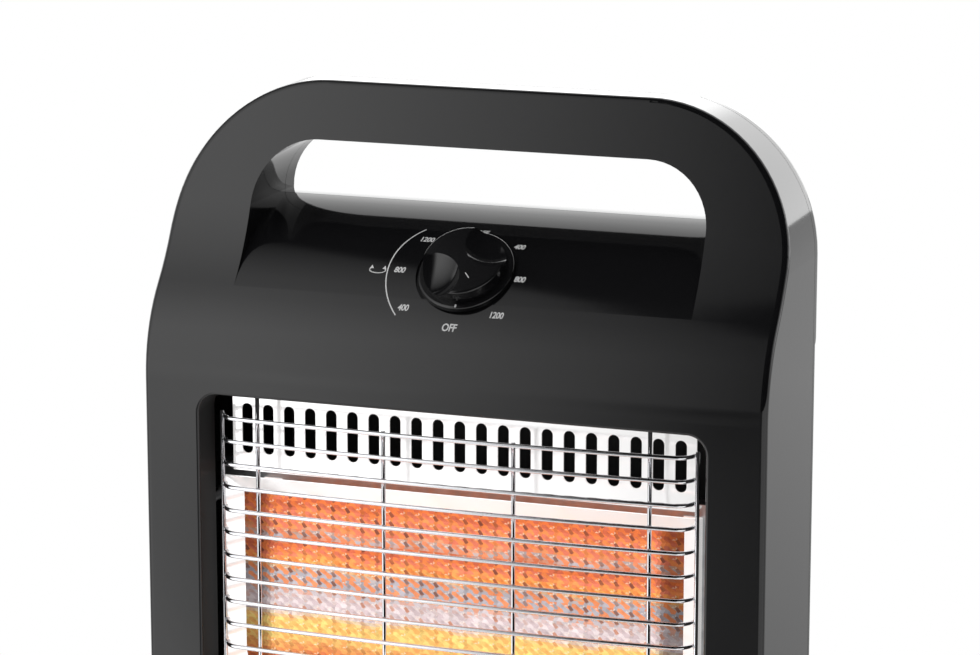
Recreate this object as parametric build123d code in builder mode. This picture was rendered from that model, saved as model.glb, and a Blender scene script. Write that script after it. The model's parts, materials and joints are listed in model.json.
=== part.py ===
from build123d import *
from math import cos, radians, sin
import os

os.makedirs("parts", exist_ok=True)

# Free-standing swinging halogen heater, in millimetres.
# +Z is up, the front looks along -Y, and the origin is on the floor under the swing axis.

# ---------------------------------------------------------------- casing
casing_width = 300.0
casing_top = 530.0
casing_bottom = 46.0
casing_wall = 2.6
casing_top_radius = 72.0
casing_bottom_radius = 36.0
casing_edge_radius = 3.0
front_y = -58.0
parting_y = 19.0
head_height = 135.0
bulge_start = casing_top - head_height

# side view of the front: upright, then a bulge that leans back, then a cove up to the handle
bulge_radius = 67.0
bulge_turn = 40.0
cove_radius = 120.0
cove_turn = 22.0

# hand opening and the shoulder below it
handle_side_width = 39.5
handle_thickness = 26.6
opening_half_width = casing_width / 2 - handle_side_width
opening_top = casing_top - handle_thickness
opening_radius = 30.5

# the handle's top is flat at the front and rolls down towards the back
crest_y = 8.5
crest_radius = 30.0
crest_turn = 60.0
shoulder_radius = 96.0
shoulder_turn = 46.0

# back casing: a shallow band behind the handle and a deep tapered cover below it
seam_gap = 0.3
band_back_y = 30.0
band_height = 125.0
band_bottom = casing_top - band_height
band_edge_radius = 7.0
band_corner_radius = 14.0
cover_rim = 3.0
cover_drop_height = 118.0
cover_top = casing_top - cover_drop_height
cover_back_y = 57.0
cover_taper = 25.0
cover_top_radius = 26.0
cover_edge_radius = 8.0
louvre_length = 88.0
louvre_height = 4.6
louvre_pitch = 11.5
louvre_rows = 14
louvre_bridge = 14.0
louvre_centre = 232.0

# window in the front casing, with a collar behind it
window_surround = 27.6
window_head = 6.0
window_half_width = casing_width / 2 - window_surround
window_top = bulge_start - window_head
window_bottom = 95.0
window_radius = 9.0
window_edge_radius = 1.4
collar_wall = 2.4
collar_back_y = -40.0

# ---------------------------------------------------------------- grille
wire_radius = 1.0
weld_depth = 0.3
bar_pitch = 11.0
bar_top_gap = 11.7
bar_top = window_top - bar_top_gap
bar_count = int((bar_top - window_bottom) / bar_pitch)
bow_front_y = -57.4
bow_radius = 1400.0
bow_end_width = 15.8
bow_half_width = window_half_width - bow_end_width
bow_chords = 3
bend_radius = 8.0
bend_turn = 76.0
bend_chords = 3
wire_sides = 6
upright_inner_x = 31.5
upright_end_width = 27.3
upright_outer_x = window_half_width - upright_end_width
end_rod_radius = 1.0

# ---------------------------------------------------------------- reflectors
sheet = 0.8
panel_y = -40.0
panel_end_width = 14.7
panel_half_width = window_half_width - panel_end_width
top_sheet_end_width = 9.4
top_sheet_half_width = window_half_width - top_sheet_end_width
top_sheet_height = 42.4
top_sheet_overlap = 3.0
top_sheet_top = window_top + top_sheet_overlap
top_sheet_bottom = top_sheet_top - top_sheet_height
top_sheet_lip = 9.0
slot_count = 21
slot_pitch = 10.57
slot_width = 5.5
slot_height = 24.0
slot_top_gap = 10.0
slot_top = top_sheet_top - slot_top_gap
panel_gap = 9.6
panel_top = top_sheet_bottom - panel_gap
panel_bottom = 108.0
rim_width = 7.6
rim_depth = 4.6
tab_width = 3.6
tab_height = 5.0
tab_depth_below_top = 37.0
tab_z = panel_top - tab_depth_below_top
shield_y = -14.0
shield_bottom = 98.0
shield_overlap = 6.0
shield_top = panel_top + shield_overlap
flange_width = 9.0
post_radius = 3.4
post_gap = 2.2
post_x = window_half_width + collar_wall + post_gap
post_inset_height = 12.0
post_low = 122.0
post_high = shield_top - post_inset_height

# ---------------------------------------------------------------- lamps
lamp_count = 3
lamp_top = 238.0
lamp_pitch = 50.0
lamp_y = -31.0
tube_radius = 5.0
tube_wall = 1.0
seal_length = 9.0
seal_thickness = 2.4
filament_radius = 1.4
lead_radius = 0.5
lead_length = 8.0
trough_half_mouth = 21.0
trough_half_floor = 8.0
trough_depth = 22.0
trough_radius = 9.0
cap_side = 12.0
cap_length = 17.0
cap_corner_radius = 1.0
cap_clearance = 0.4
cap_overlap = 3.7
cap_inner_x = panel_half_width - cap_overlap
tube_end_gap = 6.0
tube_half_length = cap_inner_x - tube_end_gap
filament_half_length = tube_half_length - lead_length
plate_cutout_gap = 2.0
clip_sheet = 1.0
clip_gap = 5.3
clip_x = panel_half_width + clip_gap
clip_end_height = 14.0

# ---------------------------------------------------------------- knob and switch
knob_turn = 50.0
knob_radius = 22.5
knob_skirt = 3.0
knob_height = 10.0
knob_body_radius = 19.6
knob_cavity_radius = 8.4
knob_cavity_height = 2.8
knob_draft = 2.0
knob_edge_radius = 1.0
clip_wall = 0.4
clip_length = 4.0
clip_slit = 1.5
knob_bar_angle = 42.0
knob_bar_half_width = 3.2
knob_scoop_radius = 20.0
knob_scoop_floor_height = 3.5
seat_depth = 1.4
seat_radius = 24.0
bushing_radius = 5.0
bushing_height = 2.4
nut_radius = 7.4
nut_height = 1.8
spindle_radius = 3.0
spindle_height = 7.4
switch_width = 30.0
switch_corner_radius = 3.0
switch_depth = 19.0

terminal_length = 8.0
terminal_width = 6.0
cutout_depth_below_top = 40.0
cutout_z = panel_top - cutout_depth_below_top
cutout_radius = 8.0
cutout_depth = 6.0
cutout_ear_length = 30.0
cutout_ear_width = 8.8
block_z = 128.0
block_length = 46.0
block_height = 16.0
block_depth = 14.0

# ---------------------------------------------------------------- case screws
boss_radius = 4.5
boss_x = (window_half_width + collar_wall + casing_width / 2 - casing_wall) / 2
boss_low_z = 75.0
boss_middle_z = 232.0
boss_high_gap = 10.0
boss_high_z = bulge_start - boss_high_gap
top_boss_x = 60.0
top_boss_gap = 18.5
top_boss_z = casing_top - top_boss_gap
screw_radius = 1.5
screw_head_radius = 3.4
screw_head_height = 2.2
screw_length = 12.0
screw_seat = 3.0
screw_fit = 0.1
access_radius = 4.4

# ---------------------------------------------------------------- base and swing
running_gap = 0.3
crank_gap = 1.2
shaft_fit = 0.05
base_radius = 125.0
base_wall = 2.6
base_rim_top = 18.0
base_top = 34.0
base_flat_radius = 46.0
base_shoulder_radius = 6.0
base_crown_radius = 30.0
plate_bottom = 2.0
plate_sheet = 2.0
plate_margin = 3.2
foot_radius = 10.0
foot_inset_width = 23.0
foot_ring_radius = base_radius - foot_inset_width
foot_peg_radius = 3.0
hub_radius = 17.0
hub_bore = 9.0
drum_radius = 26.0
hub_flange_radius = 33.5
hub_flange_height = 3.5
washer_height = 1.6
washer_radius = 25.0
yoke_drop = 1.0
yoke_sheet = 2.8
yoke_disc_radius = 21.0
yoke_margin = 4.0
yoke_bore = 6.6
slot_slack = 5.4
crank_offset = 24.0
crank_throw = 12.0
crank_pin_radius = 2.5
crank_sheet = 3.0
crank_half_width = 5.0
motor_radius = 25.0
motor_height = 15.5
motor_shift = 9.0
motor_shaft_radius = 3.0
motor_shaft_depth = 9.0
motor_ear_x = 31.0
motor_ear_sheet = 1.5
hub_screw_ring_radius = 13.0
neck_screw_x = 28.0
neck_screw_y = 10.0
small_screw_radius = 1.3
small_head_radius = 2.5
small_head_height = 1.5
small_screw_length = 8.0
neck_screw_length = 9.0
base_screw_inset_width = 18.0
base_screw_ring_radius = base_radius - base_screw_inset_width
base_boss_radius = 4.5
weight_inset_width = 33.0
weight_outer_radius = base_radius - weight_inset_width
weight_inner_radius = 66.0
weight_height = 10.0
gland_z = 8.6
gland_radius = 4.4
gland_flange_radius = 5.5
gland_flange = 2.0
gland_length = 7.0
gland_recess = 0.4
cord_hole_radius = 3.4
tip_y = -46.0
tip_radius = 3.0
tip_travel = 6.0
tip_flange_radius = 4.4
tip_flange_height = 1.4
tip_length = 15.0
tip_case_height = 19.0
tip_case_width = 22.0
tip_case_depth = 14.0
tip_case_corner_radius = 1.0
tip_cavity_radius = 5.0
spring_radius = 3.9
spring_wire = 0.45
spring_turns = 4
spring_sides = 4

# how far a cut runs past the face it opens, and how near an edge lies to the place it is picked by
cut_over = 1.0
pick_gap = 1.0

def save(builder, name):
    """Label a finished piece and write it to its own file."""
    builder.part.label = name
    export_step(builder.part, f"parts/{name}.step")


def upright(y):
    """Upright plane at depth y: x is +X, y is +Z, and a negative extrusion runs towards the back."""
    return Plane.XZ.offset(-y)


# ================================================================ forms of the casing

# where the bulge ends and the shoulder leaves the handle, as (y, z)
bulge_end_y = front_y + bulge_radius * (1 - cos(radians(bulge_turn)))
bulge_end_z = bulge_start + bulge_radius * sin(radians(bulge_turn))
far = 200.0


def draw_panel(half_width, low, high, low_radius, high_radius):
    """Draw an upright rectangle in the active sketch, with one corner radius below and one above."""
    with Locations((0, (low + high) / 2)):
        Rectangle(2 * half_width, high - low)
    fillet(vertices().group_by(Axis.Y)[-1], high_radius)
    fillet(vertices().group_by(Axis.Y)[0], low_radius)


def draw_outline(inset):
    """Draw the front view of the whole casing in the active sketch."""
    draw_panel(
        casing_width / 2 - inset,
        casing_bottom + inset,
        casing_top - inset,
        casing_bottom_radius - inset,
        casing_top_radius - inset,
    )


def hand_opening(inset):
    """Space above the shoulder and inside the loop of the handle, grown by inset all round."""
    turn = radians(bulge_turn)
    with BuildPart() as space:
        with BuildSketch(Plane.YZ):
            with BuildLine():
                start = (bulge_end_y + inset * cos(turn), bulge_end_z - inset * sin(turn))
                roll = JernArc(start, (sin(turn), cos(turn)), shoulder_radius - inset, -shoulder_turn)
                tail = Line(roll @ 1, (roll @ 1) + (roll % 1) * far)
                Polyline(
                    tail @ 1,
                    ((tail @ 1).X, casing_top + far),
                    (front_y - far, casing_top + far),
                    (front_y - far, start[1]),
                    start,
                )
            make_face()
        extrude(amount=opening_half_width + inset, both=True)
        with BuildSketch(Plane.XZ):
            draw_panel(
                opening_half_width + inset,
                bulge_start,
                opening_top + inset,
                casing_wall,
                opening_radius + inset,
            )
        extrude(amount=2 * far, both=True, mode=Mode.INTERSECT)
    return space.part


def above_crest(inset):
    """Space above the rolled back of the handle's top, grown by inset."""
    with BuildPart() as space:
        with BuildSketch(Plane.YZ):
            with BuildLine():
                roll = JernArc((crest_y, casing_top - inset), (1, 0), crest_radius - inset, -crest_turn)
                Polyline(
                    roll @ 1,
                    ((roll @ 1).X, casing_top + far),
                    (crest_y, casing_top + far),
                    roll @ 0,
                )
            make_face()
        extrude(amount=casing_width, both=True)
    return space.part


def front_form(inset, back_y):
    """Solid envelope of the front casing, shrunk by inset, back to the plane y = back_y."""
    opening = hand_opening(inset)
    low = casing_bottom - far
    with BuildPart() as form:
        with BuildSketch(Plane.YZ):
            with BuildLine():
                rise = Line((front_y + inset, low), (front_y + inset, bulge_start))
                bulge = JernArc(rise @ 1, rise % 1, bulge_radius - inset, -bulge_turn)
                cove = JernArc(bulge @ 1, bulge % 1, cove_radius + inset, cove_turn)
                lean_length = (casing_top + 4 * casing_wall - (cove @ 1).Y) / (cove % 1).Y
                lean = Line(cove @ 1, (cove @ 1) + (cove % 1) * lean_length)
                Polyline(lean @ 1, (back_y, (lean @ 1).Y), (back_y, low), rise @ 0)
            make_face()
        extrude(amount=casing_width / 2, both=True)
        with BuildSketch(Plane.XZ):
            draw_outline(inset)
        extrude(amount=2 * far, both=True, mode=Mode.INTERSECT)
        if inset == 0:
            seams = form.edges().filter_by(Axis.X).filter_by(
                lambda e: casing_bottom + pick_gap < e.center().Z < casing_top - pick_gap
            )
            front_edges = form.edges().filter_by(lambda e: e.center().Y < back_y - pick_gap)
            front_edges = front_edges.filter_by(Axis.Y, reverse=True)
            fillet([e for e in front_edges if e not in seams], casing_edge_radius)
        add(opening, mode=Mode.SUBTRACT)
        add(above_crest(inset), mode=Mode.SUBTRACT)
    return form.part


def back_form(inset):
    """Solid envelope of the back casing, shrunk by inset: a band behind the handle, a deep cover below."""
    opening = hand_opening(inset)
    rim_y = parting_y + cover_rim
    start_y = parting_y + seam_gap if inset == 0 else parting_y - cut_over
    with BuildPart() as form:
        with BuildSketch(upright(start_y)):
            draw_outline(inset)
        extrude(amount=start_y - rim_y)
        with BuildSketch(upright(rim_y)):
            draw_outline(inset)
            with Locations((0, band_bottom + inset - far)):
                Rectangle(2 * casing_width, 2 * far, mode=Mode.SUBTRACT)
            fillet(vertices().group_by(Axis.Y)[0], band_corner_radius - inset)
        extrude(amount=rim_y - band_back_y + inset)
        if inset == 0:
            fillet(form.faces().sort_by(Axis.Y)[-1].edges(), band_edge_radius)
        with BuildSketch(upright(rim_y)):
            draw_panel(
                casing_width / 2 - inset,
                casing_bottom + inset,
                cover_top - inset,
                casing_bottom_radius - inset,
                cover_top_radius - inset,
            )
        extrude(amount=rim_y - cover_back_y + inset, taper=cover_taper)
        if inset == 0:
            fillet(form.faces().sort_by(Axis.Y)[-1].edges(), cover_edge_radius)
        add(opening, mode=Mode.SUBTRACT)
        add(above_crest(inset), mode=Mode.SUBTRACT)
    return form.part


# ================================================================ shared places


def bow_y(x):
    """Depth of a bar's centreline at the distance x from the middle of the bow."""
    return bow_front_y + bow_radius - (bow_radius**2 - x**2) ** 0.5


def upright_y(x):
    """Depth of an upright that is welded behind the bars at the distance x."""
    return bow_y(x) + 2 * wire_radius - weld_depth


wire_corner = wire_radius / cos(radians(180 / wire_sides))

knob_plane = Plane(
    origin=(
        0,
        bulge_end_y + shoulder_radius * (cos(radians(bulge_turn)) - cos(radians(knob_turn))),
        bulge_end_z + shoulder_radius * (sin(radians(knob_turn)) - sin(radians(bulge_turn))),
    ),
    x_dir=(1, 0, 0),
    z_dir=(0, -cos(radians(knob_turn)), sin(radians(knob_turn))),
)
seat_plane = knob_plane.offset(-seat_depth)
seat_under_plane = seat_plane.offset(-casing_wall)

lamp_levels = [lamp_top - lamp_pitch * row for row in range(lamp_count)]
bar_levels = [bar_top - bar_pitch * row for row in range(bar_count)]
boss_spots = [(side * boss_x, level) for side in (-1, 1) for level in (boss_low_z, boss_middle_z, boss_high_z)]
boss_spots += [(side * top_boss_x, top_boss_z) for side in (-1, 1)]
post_spots = [(side * post_x, level) for side in (-1, 1) for level in (post_low, post_high)]
shield_half_width = boss_x - boss_radius - running_gap
window_middle = (window_top + window_bottom) / 2
window_height = window_top - window_bottom

hub_bottom = base_top + washer_height + running_gap
yoke_top = base_top - base_wall - yoke_drop
yoke_bottom = yoke_top - yoke_sheet
motor_bottom = plate_bottom + plate_sheet
motor_top = motor_bottom + motor_height
crank_top = yoke_bottom - crank_gap
crank_bottom = crank_top - crank_sheet
flange_bottom = casing_bottom - hub_flange_height
neck_spots = [(across * neck_screw_x, along * neck_screw_y) for across in (-1, 1) for along in (-1, 1)]


# ================================================================ casing

front_outer = front_form(0, parting_y)
front_inner = front_form(casing_wall, parting_y + cut_over)
front_middle = front_form(casing_wall / 2, parting_y)
back_outer = back_form(0)
back_inner = back_form(casing_wall)

with BuildPart() as front_pillars:
    with BuildSketch(upright(parting_y)):
        with Locations(*boss_spots):
            Circle(boss_radius)
    extrude(amount=far)
    with BuildSketch(upright(shield_y)):
        with Locations(*post_spots):
            Circle(post_radius)
    extrude(amount=far)
    with BuildSketch(seat_under_plane):
        Circle(seat_radius + casing_wall)
    extrude(amount=seat_depth + casing_wall)
    add(front_middle, mode=Mode.INTERSECT)

with BuildPart() as front_shell:
    add(front_outer)
    add(front_inner, mode=Mode.SUBTRACT)
    add(front_pillars.part)
    with BuildSketch(upright(front_y + casing_wall / 2)):
        with Locations((0, window_middle)):
            RectangleRounded(
                2 * (window_half_width + collar_wall),
                window_height + 2 * collar_wall,
                window_radius + collar_wall,
            )
    extrude(amount=front_y + casing_wall / 2 - collar_back_y)
    with BuildSketch(upright(front_y - cut_over)):
        with Locations((0, window_middle)):
            RectangleRounded(2 * window_half_width, window_height, window_radius)
    extrude(amount=front_y - cut_over - collar_back_y, mode=Mode.SUBTRACT)
    lip = front_shell.edges().filter_by_position(Axis.Y, front_y - seam_gap, front_y + seam_gap)
    lip = lip.filter_by(lambda e: abs(e.center().X) < window_half_width + pick_gap)
    lip = lip.filter_by(
        lambda e: window_bottom - pick_gap < e.center().Z < window_top + pick_gap
    )
    fillet(lip, window_edge_radius)
    # flat seat and spindle hole for the knob and its switch
    with BuildSketch(seat_plane):
        Circle(seat_radius)
    extrude(amount=far / 4, mode=Mode.SUBTRACT)
    with BuildSketch(seat_under_plane.offset(-cut_over)):
        Circle(bushing_radius + screw_fit)
    extrude(amount=casing_wall + 2 * cut_over, mode=Mode.SUBTRACT)
    # pilot holes in the pillars
    with BuildSketch(upright(parting_y)):
        with Locations(*boss_spots):
            Circle(screw_radius + screw_fit)
    extrude(amount=screw_length, mode=Mode.SUBTRACT)
    with BuildSketch(upright(shield_y)):
        with Locations(*post_spots):
            Circle(screw_radius + screw_fit)
    extrude(amount=screw_length, mode=Mode.SUBTRACT)
    # cable hole and screw holes in the floor, over the neck
    with BuildSketch(Plane.XY.offset(casing_bottom)):
        Circle(hub_bore)
        with Locations(*neck_spots):
            Circle(screw_radius + screw_fit)
    extrude(amount=casing_wall + cut_over, mode=Mode.SUBTRACT)
    # holes above and below the window that the outer uprights of the grille spring into
    for level in (window_bottom - collar_wall, window_top):
        with BuildSketch(Plane.XY.offset(level - cut_over)):
            with Locations(*[(side * upright_outer_x, upright_y(upright_outer_x)) for side in (-1, 1)]):
                Circle(wire_corner + running_gap)
        extrude(amount=collar_wall + 2 * cut_over, mode=Mode.SUBTRACT)
save(front_shell, "front_shell")

with BuildPart() as back_towers:
    with BuildSketch(upright(parting_y + seam_gap)):
        with Locations(*boss_spots):
            Circle(access_radius + casing_wall)
    extrude(amount=-far)
    add(back_outer, mode=Mode.INTERSECT)

with BuildPart() as back_shell:
    add(back_outer)
    add(back_inner, mode=Mode.SUBTRACT)
    add(back_towers.part)
    with BuildSketch(upright(parting_y)):
        with Locations(*boss_spots):
            Circle(screw_radius + screw_fit)
    extrude(amount=-far, mode=Mode.SUBTRACT)
    with BuildSketch(upright(parting_y + seam_gap + screw_seat)):
        with Locations(*boss_spots):
            Circle(access_radius)
    extrude(amount=-far, mode=Mode.SUBTRACT)
    with BuildSketch(upright(cover_back_y + cut_over)):
        with Locations((0, louvre_centre)):
            with GridLocations(louvre_length + louvre_bridge, louvre_pitch, 2, louvre_rows):
                Rectangle(louvre_length, louvre_height)
    extrude(amount=2 * casing_wall + cut_over, mode=Mode.SUBTRACT)
save(back_shell, "back_shell")

with BuildPart() as case_screws:
    with BuildSketch(upright(parting_y + seam_gap + screw_seat)):
        with Locations(*boss_spots):
            Circle(screw_head_radius)
    extrude(amount=-screw_head_height)
    with BuildSketch(upright(parting_y + seam_gap + screw_seat)):
        with Locations(*boss_spots):
            Circle(screw_radius)
    extrude(amount=screw_length)
save(case_screws, "case_screws")


# ================================================================ grille

# one bar seen from above: a shallow bow that bends back at its ends, walked in straight steps
with BuildLine() as bar_curve:
    bow = ThreePointArc(
        (-bow_half_width, bow_y(bow_half_width)),
        (0, bow_front_y),
        (bow_half_width, bow_y(bow_half_width)),
    )
    bend = JernArc(bow @ 1, bow % 1, bend_radius, bend_turn)
right_half = [bow @ ((1 + step / bow_chords) / 2) for step in range(bow_chords + 1)]
right_half += [bend @ (step / bend_chords) for step in range(1, bend_chords + 1)]
bar_points = [(-point.X, point.Y) for point in reversed(right_half[1:])]
bar_points += [(point.X, point.Y) for point in right_half]
rod_x = (bend @ 1).X + wire_radius + end_rod_radius - weld_depth
rod_y = (bend @ 1).Y

wires = []
for level in bar_levels:
    with BuildLine(Plane.XY.offset(level)) as bar_path:
        Polyline(*bar_points)
    wires.append(bar_path.wires()[0])

bars_low = bar_levels[-1] - wire_radius
bars_high = bar_levels[0] + wire_radius
for side in (-1, 1):
    for across, depth, low, high in (
        (upright_inner_x, upright_y(upright_inner_x), bars_low, bars_high),
        (upright_outer_x, upright_y(upright_outer_x), window_bottom - collar_wall, window_top + collar_wall),
        (rod_x, rod_y, bars_low - wire_radius, bars_high + wire_radius),
    ):
        with BuildLine() as rod_path:
            Line((side * across, depth, low), (side * across, depth, high))
        wires.append(rod_path.wires()[0])

# the guard is one welded piece, so each wire is swept and then joined to the rest
with BuildPart() as grille:
    for wire in wires:
        with BuildSketch(Plane(origin=wire @ 0, z_dir=wire % 0)):
            RegularPolygon(wire_corner, wire_sides)
        sweep(path=wire, transition=Transition.RIGHT)
save(grille, "grille")


# ================================================================ reflectors

with BuildPart() as top_reflector:
    with BuildSketch(upright(panel_y)):
        with Locations((0, (top_sheet_bottom + top_sheet_top) / 2)):
            Rectangle(2 * top_sheet_half_width, top_sheet_top - top_sheet_bottom)
    extrude(amount=-sheet)
    with BuildSketch(Plane.XY.offset(top_sheet_bottom)):
        with Locations((0, panel_y + top_sheet_lip / 2)):
            Rectangle(2 * top_sheet_half_width, top_sheet_lip)
    extrude(amount=sheet)
    with BuildSketch(upright(panel_y - cut_over)):
        with Locations((0, slot_top - slot_height / 2)):
            with GridLocations(slot_pitch, slot_height, slot_count, 1):
                SlotOverall(slot_height, slot_width, rotation=90)
    extrude(amount=-sheet - 2 * cut_over, mode=Mode.SUBTRACT)
save(top_reflector, "top_reflector")


panel_middle = (panel_top + panel_bottom) / 2
panel_height = panel_top - panel_bottom


def reflector_form(inset):
    """Solid in front of the folded sheet: the flared rim, the panel and the troughs behind it."""
    with BuildPart() as form:
        with BuildSketch(upright(panel_y)):
            with Locations((0, panel_middle)):
                Rectangle(2 * panel_half_width, panel_height)
        with BuildSketch(upright(panel_y - rim_depth)):
            with Locations((0, panel_middle)):
                Rectangle(2 * (panel_half_width + rim_width), panel_height + 2 * rim_width)
        loft()
        if inset:
            with BuildSketch(upright(panel_y)):
                with Locations((0, panel_middle)):
                    Rectangle(2 * panel_half_width, panel_height)
            extrude(amount=-inset)
        for level in lamp_levels:
            with BuildSketch(Plane.YZ):
                with BuildLine():
                    Polyline(
                        (panel_y - cut_over, level - trough_half_mouth - inset),
                        (panel_y, level - trough_half_mouth - inset),
                        (panel_y + trough_depth + inset, level - trough_half_floor - inset / 2),
                        (panel_y + trough_depth + inset, level + trough_half_floor + inset / 2),
                        (panel_y, level + trough_half_mouth + inset),
                        (panel_y - cut_over, level + trough_half_mouth + inset),
                        close=True,
                    )
                make_face()
                corners = vertices().group_by(Axis.X)[-1]
                fillet(corners, trough_radius + inset)
            extrude(amount=panel_half_width, both=True)
    return form.part


reflector_front = reflector_form(0)
reflector_back = reflector_form(sheet)
with BuildPart() as rim_back:
    with BuildSketch(upright(panel_y + sheet)):
        with Locations((0, panel_middle)):
            Rectangle(2 * (panel_half_width + sheet / 2), panel_height + sheet)
    with BuildSketch(upright(panel_y - rim_depth)):
        with Locations((0, panel_middle)):
            Rectangle(
                2 * (panel_half_width + rim_width) + 2 * sheet,
                panel_height + 2 * rim_width + 2 * sheet,
            )
    loft()

with BuildPart() as main_reflector:
    add(reflector_back)
    add(rim_back.part)
    add(reflector_front, mode=Mode.SUBTRACT)
    with BuildSketch(upright(panel_y - rim_depth - cut_over)):
        with Locations(*[(side * (panel_half_width + rim_width / 2), tab_z) for side in (-1, 1)]):
            Rectangle(tab_width, tab_height)
    extrude(amount=-rim_depth - 2 * cut_over, mode=Mode.SUBTRACT)
save(main_reflector, "main_reflector")

# end sheets behind the panel, with a window for each lamp and a flange on the heat shield
plate_front_y = panel_y + sheet
cutout = cap_side + plate_cutout_gap
for side, hand in ((-1, "left"), (1, "right")):
    plate_plane = Plane(origin=(side * panel_half_width, 0, 0), x_dir=(0, 1, 0), z_dir=(1, 0, 0))
    with BuildPart() as side_plate:
        with BuildSketch(plate_plane):
            with Locations(((plate_front_y + shield_y) / 2, panel_middle)):
                Rectangle(shield_y - plate_front_y, panel_height)
            for level in lamp_levels:
                with Locations((lamp_y, level)):
                    Rectangle(cutout, cutout, mode=Mode.SUBTRACT)
        extrude(amount=side * sheet)
        with BuildSketch(upright(shield_y - sheet)):
            with Locations((side * (panel_half_width + sheet - flange_width / 2), panel_middle)):
                Rectangle(flange_width, panel_height)
        extrude(amount=-sheet)
    save(side_plate, f"side_plate_{hand}")

with BuildPart() as heat_shield:
    with BuildSketch(upright(shield_y)):
        with Locations((0, (shield_bottom + shield_top) / 2)):
            Rectangle(2 * shield_half_width, shield_top - shield_bottom)
        with Locations(*post_spots):
            Circle(screw_radius + screw_fit, mode=Mode.SUBTRACT)
    extrude(amount=-sheet)
    with BuildSketch(Plane.XY.offset(shield_top - sheet)):
        with Locations((0, shield_y + sheet + flange_width / 2)):
            Rectangle(2 * shield_half_width, flange_width)
    extrude(amount=sheet)
save(heat_shield, "heat_shield")

with BuildPart() as shield_screws:
    with BuildSketch(upright(shield_y + sheet)):
        with Locations(*post_spots):
            Circle(screw_head_radius)
    extrude(amount=-screw_head_height)
    with BuildSketch(upright(shield_y + sheet)):
        with Locations(*post_spots):
            Circle(screw_radius)
    extrude(amount=screw_length)
save(shield_screws, "shield_screws")


# ================================================================ lamps

cap_socket = tube_half_length + tube_wall + seal_length + running_gap - cap_inner_x
for number, level in enumerate(lamp_levels, start=1):
    lamp_plane = Plane(origin=(0, lamp_y, level), x_dir=(0, 1, 0), z_dir=(1, 0, 0))
    with BuildPart() as lamp_tube:
        with BuildSketch(lamp_plane):
            Circle(tube_radius)
            Circle(tube_radius - tube_wall, mode=Mode.SUBTRACT)
        extrude(amount=tube_half_length, both=True)
        for side in (-1, 1):
            with BuildSketch(lamp_plane.offset(side * tube_half_length)):
                Circle(tube_radius)
            with BuildSketch(lamp_plane.offset(side * (tube_half_length + tube_wall))):
                Rectangle(2 * tube_radius, seal_thickness)
            loft()
            with BuildSketch(lamp_plane.offset(side * (tube_half_length + tube_wall))):
                Rectangle(2 * tube_radius, seal_thickness)
            extrude(amount=side * seal_length)
    save(lamp_tube, f"lamp_tube_{number}")

    with BuildPart() as filament:
        with BuildSketch(lamp_plane):
            Circle(filament_radius)
        extrude(amount=filament_half_length, both=True)
        with BuildSketch(lamp_plane):
            Circle(lead_radius)
        extrude(amount=tube_half_length, both=True)
    save(filament, f"filament_{number}")

    with BuildPart() as lamp_caps:
        for side in (-1, 1):
            with BuildSketch(lamp_plane.offset(side * cap_inner_x)):
                RectangleRounded(cap_side, cap_side, cap_corner_radius)
            extrude(amount=side * cap_length)
            with BuildSketch(lamp_plane.offset(side * cap_inner_x)):
                Rectangle(2 * tube_radius + cap_clearance, seal_thickness + cap_clearance)
            extrude(amount=side * cap_socket, mode=Mode.SUBTRACT)
    save(lamp_caps, f"lamp_caps_{number}")

clip_top = lamp_levels[0] + clip_end_height
clip_bottom = lamp_levels[-1] - clip_end_height
for side, hand in ((-1, "left"), (1, "right")):
    clip_plane = Plane(origin=(side * clip_x, 0, 0), x_dir=(0, 1, 0), z_dir=(1, 0, 0))
    with BuildPart() as lamp_clips:
        with BuildSketch(clip_plane):
            with Locations(((plate_front_y + shield_y) / 2, (clip_top + clip_bottom) / 2)):
                Rectangle(shield_y - plate_front_y, clip_top - clip_bottom)
            for level in lamp_levels:
                with Locations((lamp_y, level)):
                    Rectangle(cap_side + cap_clearance, cap_side + cap_clearance, mode=Mode.SUBTRACT)
        extrude(amount=side * clip_sheet)
        with BuildSketch(upright(shield_y - clip_sheet)):
            with Locations((side * (clip_x + flange_width / 2), (clip_top + clip_bottom) / 2)):
                Rectangle(flange_width, clip_top - clip_bottom)
        extrude(amount=-clip_sheet)
    save(lamp_clips, f"lamp_clips_{hand}")


# ================================================================ knob and switch

bar_turn = radians(knob_bar_angle)
bar_across = (cos(bar_turn), sin(bar_turn))
scoop_height = knob_scoop_floor_height + knob_scoop_radius
scoop_offset = knob_bar_half_width + (knob_scoop_radius**2 - (scoop_height - knob_height) ** 2) ** 0.5
knob_axis = Axis(seat_plane.origin, seat_plane.z_dir)
knob_under_plane = seat_plane.offset(running_gap)
clip_radius = spindle_radius + clip_wall

with BuildPart() as knob:
    with BuildSketch(knob_under_plane):
        Circle(knob_body_radius)
    extrude(amount=knob_height, taper=knob_draft)
    fillet(knob.edges().sort_by(knob_axis)[-1], knob_edge_radius)
    # two round scoops leave the finger bar between them
    for side in (-1, 1):
        scoop_centre = knob_under_plane.from_local_coords(
            (side * scoop_offset * bar_across[0], side * scoop_offset * bar_across[1], scoop_height)
        )
        with Locations(scoop_centre):
            Sphere(knob_scoop_radius, mode=Mode.SUBTRACT)
    with BuildSketch(knob_under_plane):
        Circle(knob_radius)
    extrude(amount=knob_skirt)
    skirt_rim = knob.edges().filter_by(GeomType.CIRCLE).filter_by(lambda e: e.radius > knob_body_radius + pick_gap)
    fillet(skirt_rim.sort_by(knob_axis)[-1], knob_edge_radius)
    with BuildSketch(knob_under_plane):
        Circle(knob_cavity_radius)
    extrude(amount=knob_cavity_height, mode=Mode.SUBTRACT)
    with BuildSketch(knob_under_plane):
        Circle(clip_radius + shaft_fit)
    extrude(amount=spindle_height, mode=Mode.SUBTRACT)
save(knob, "knob")

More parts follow.
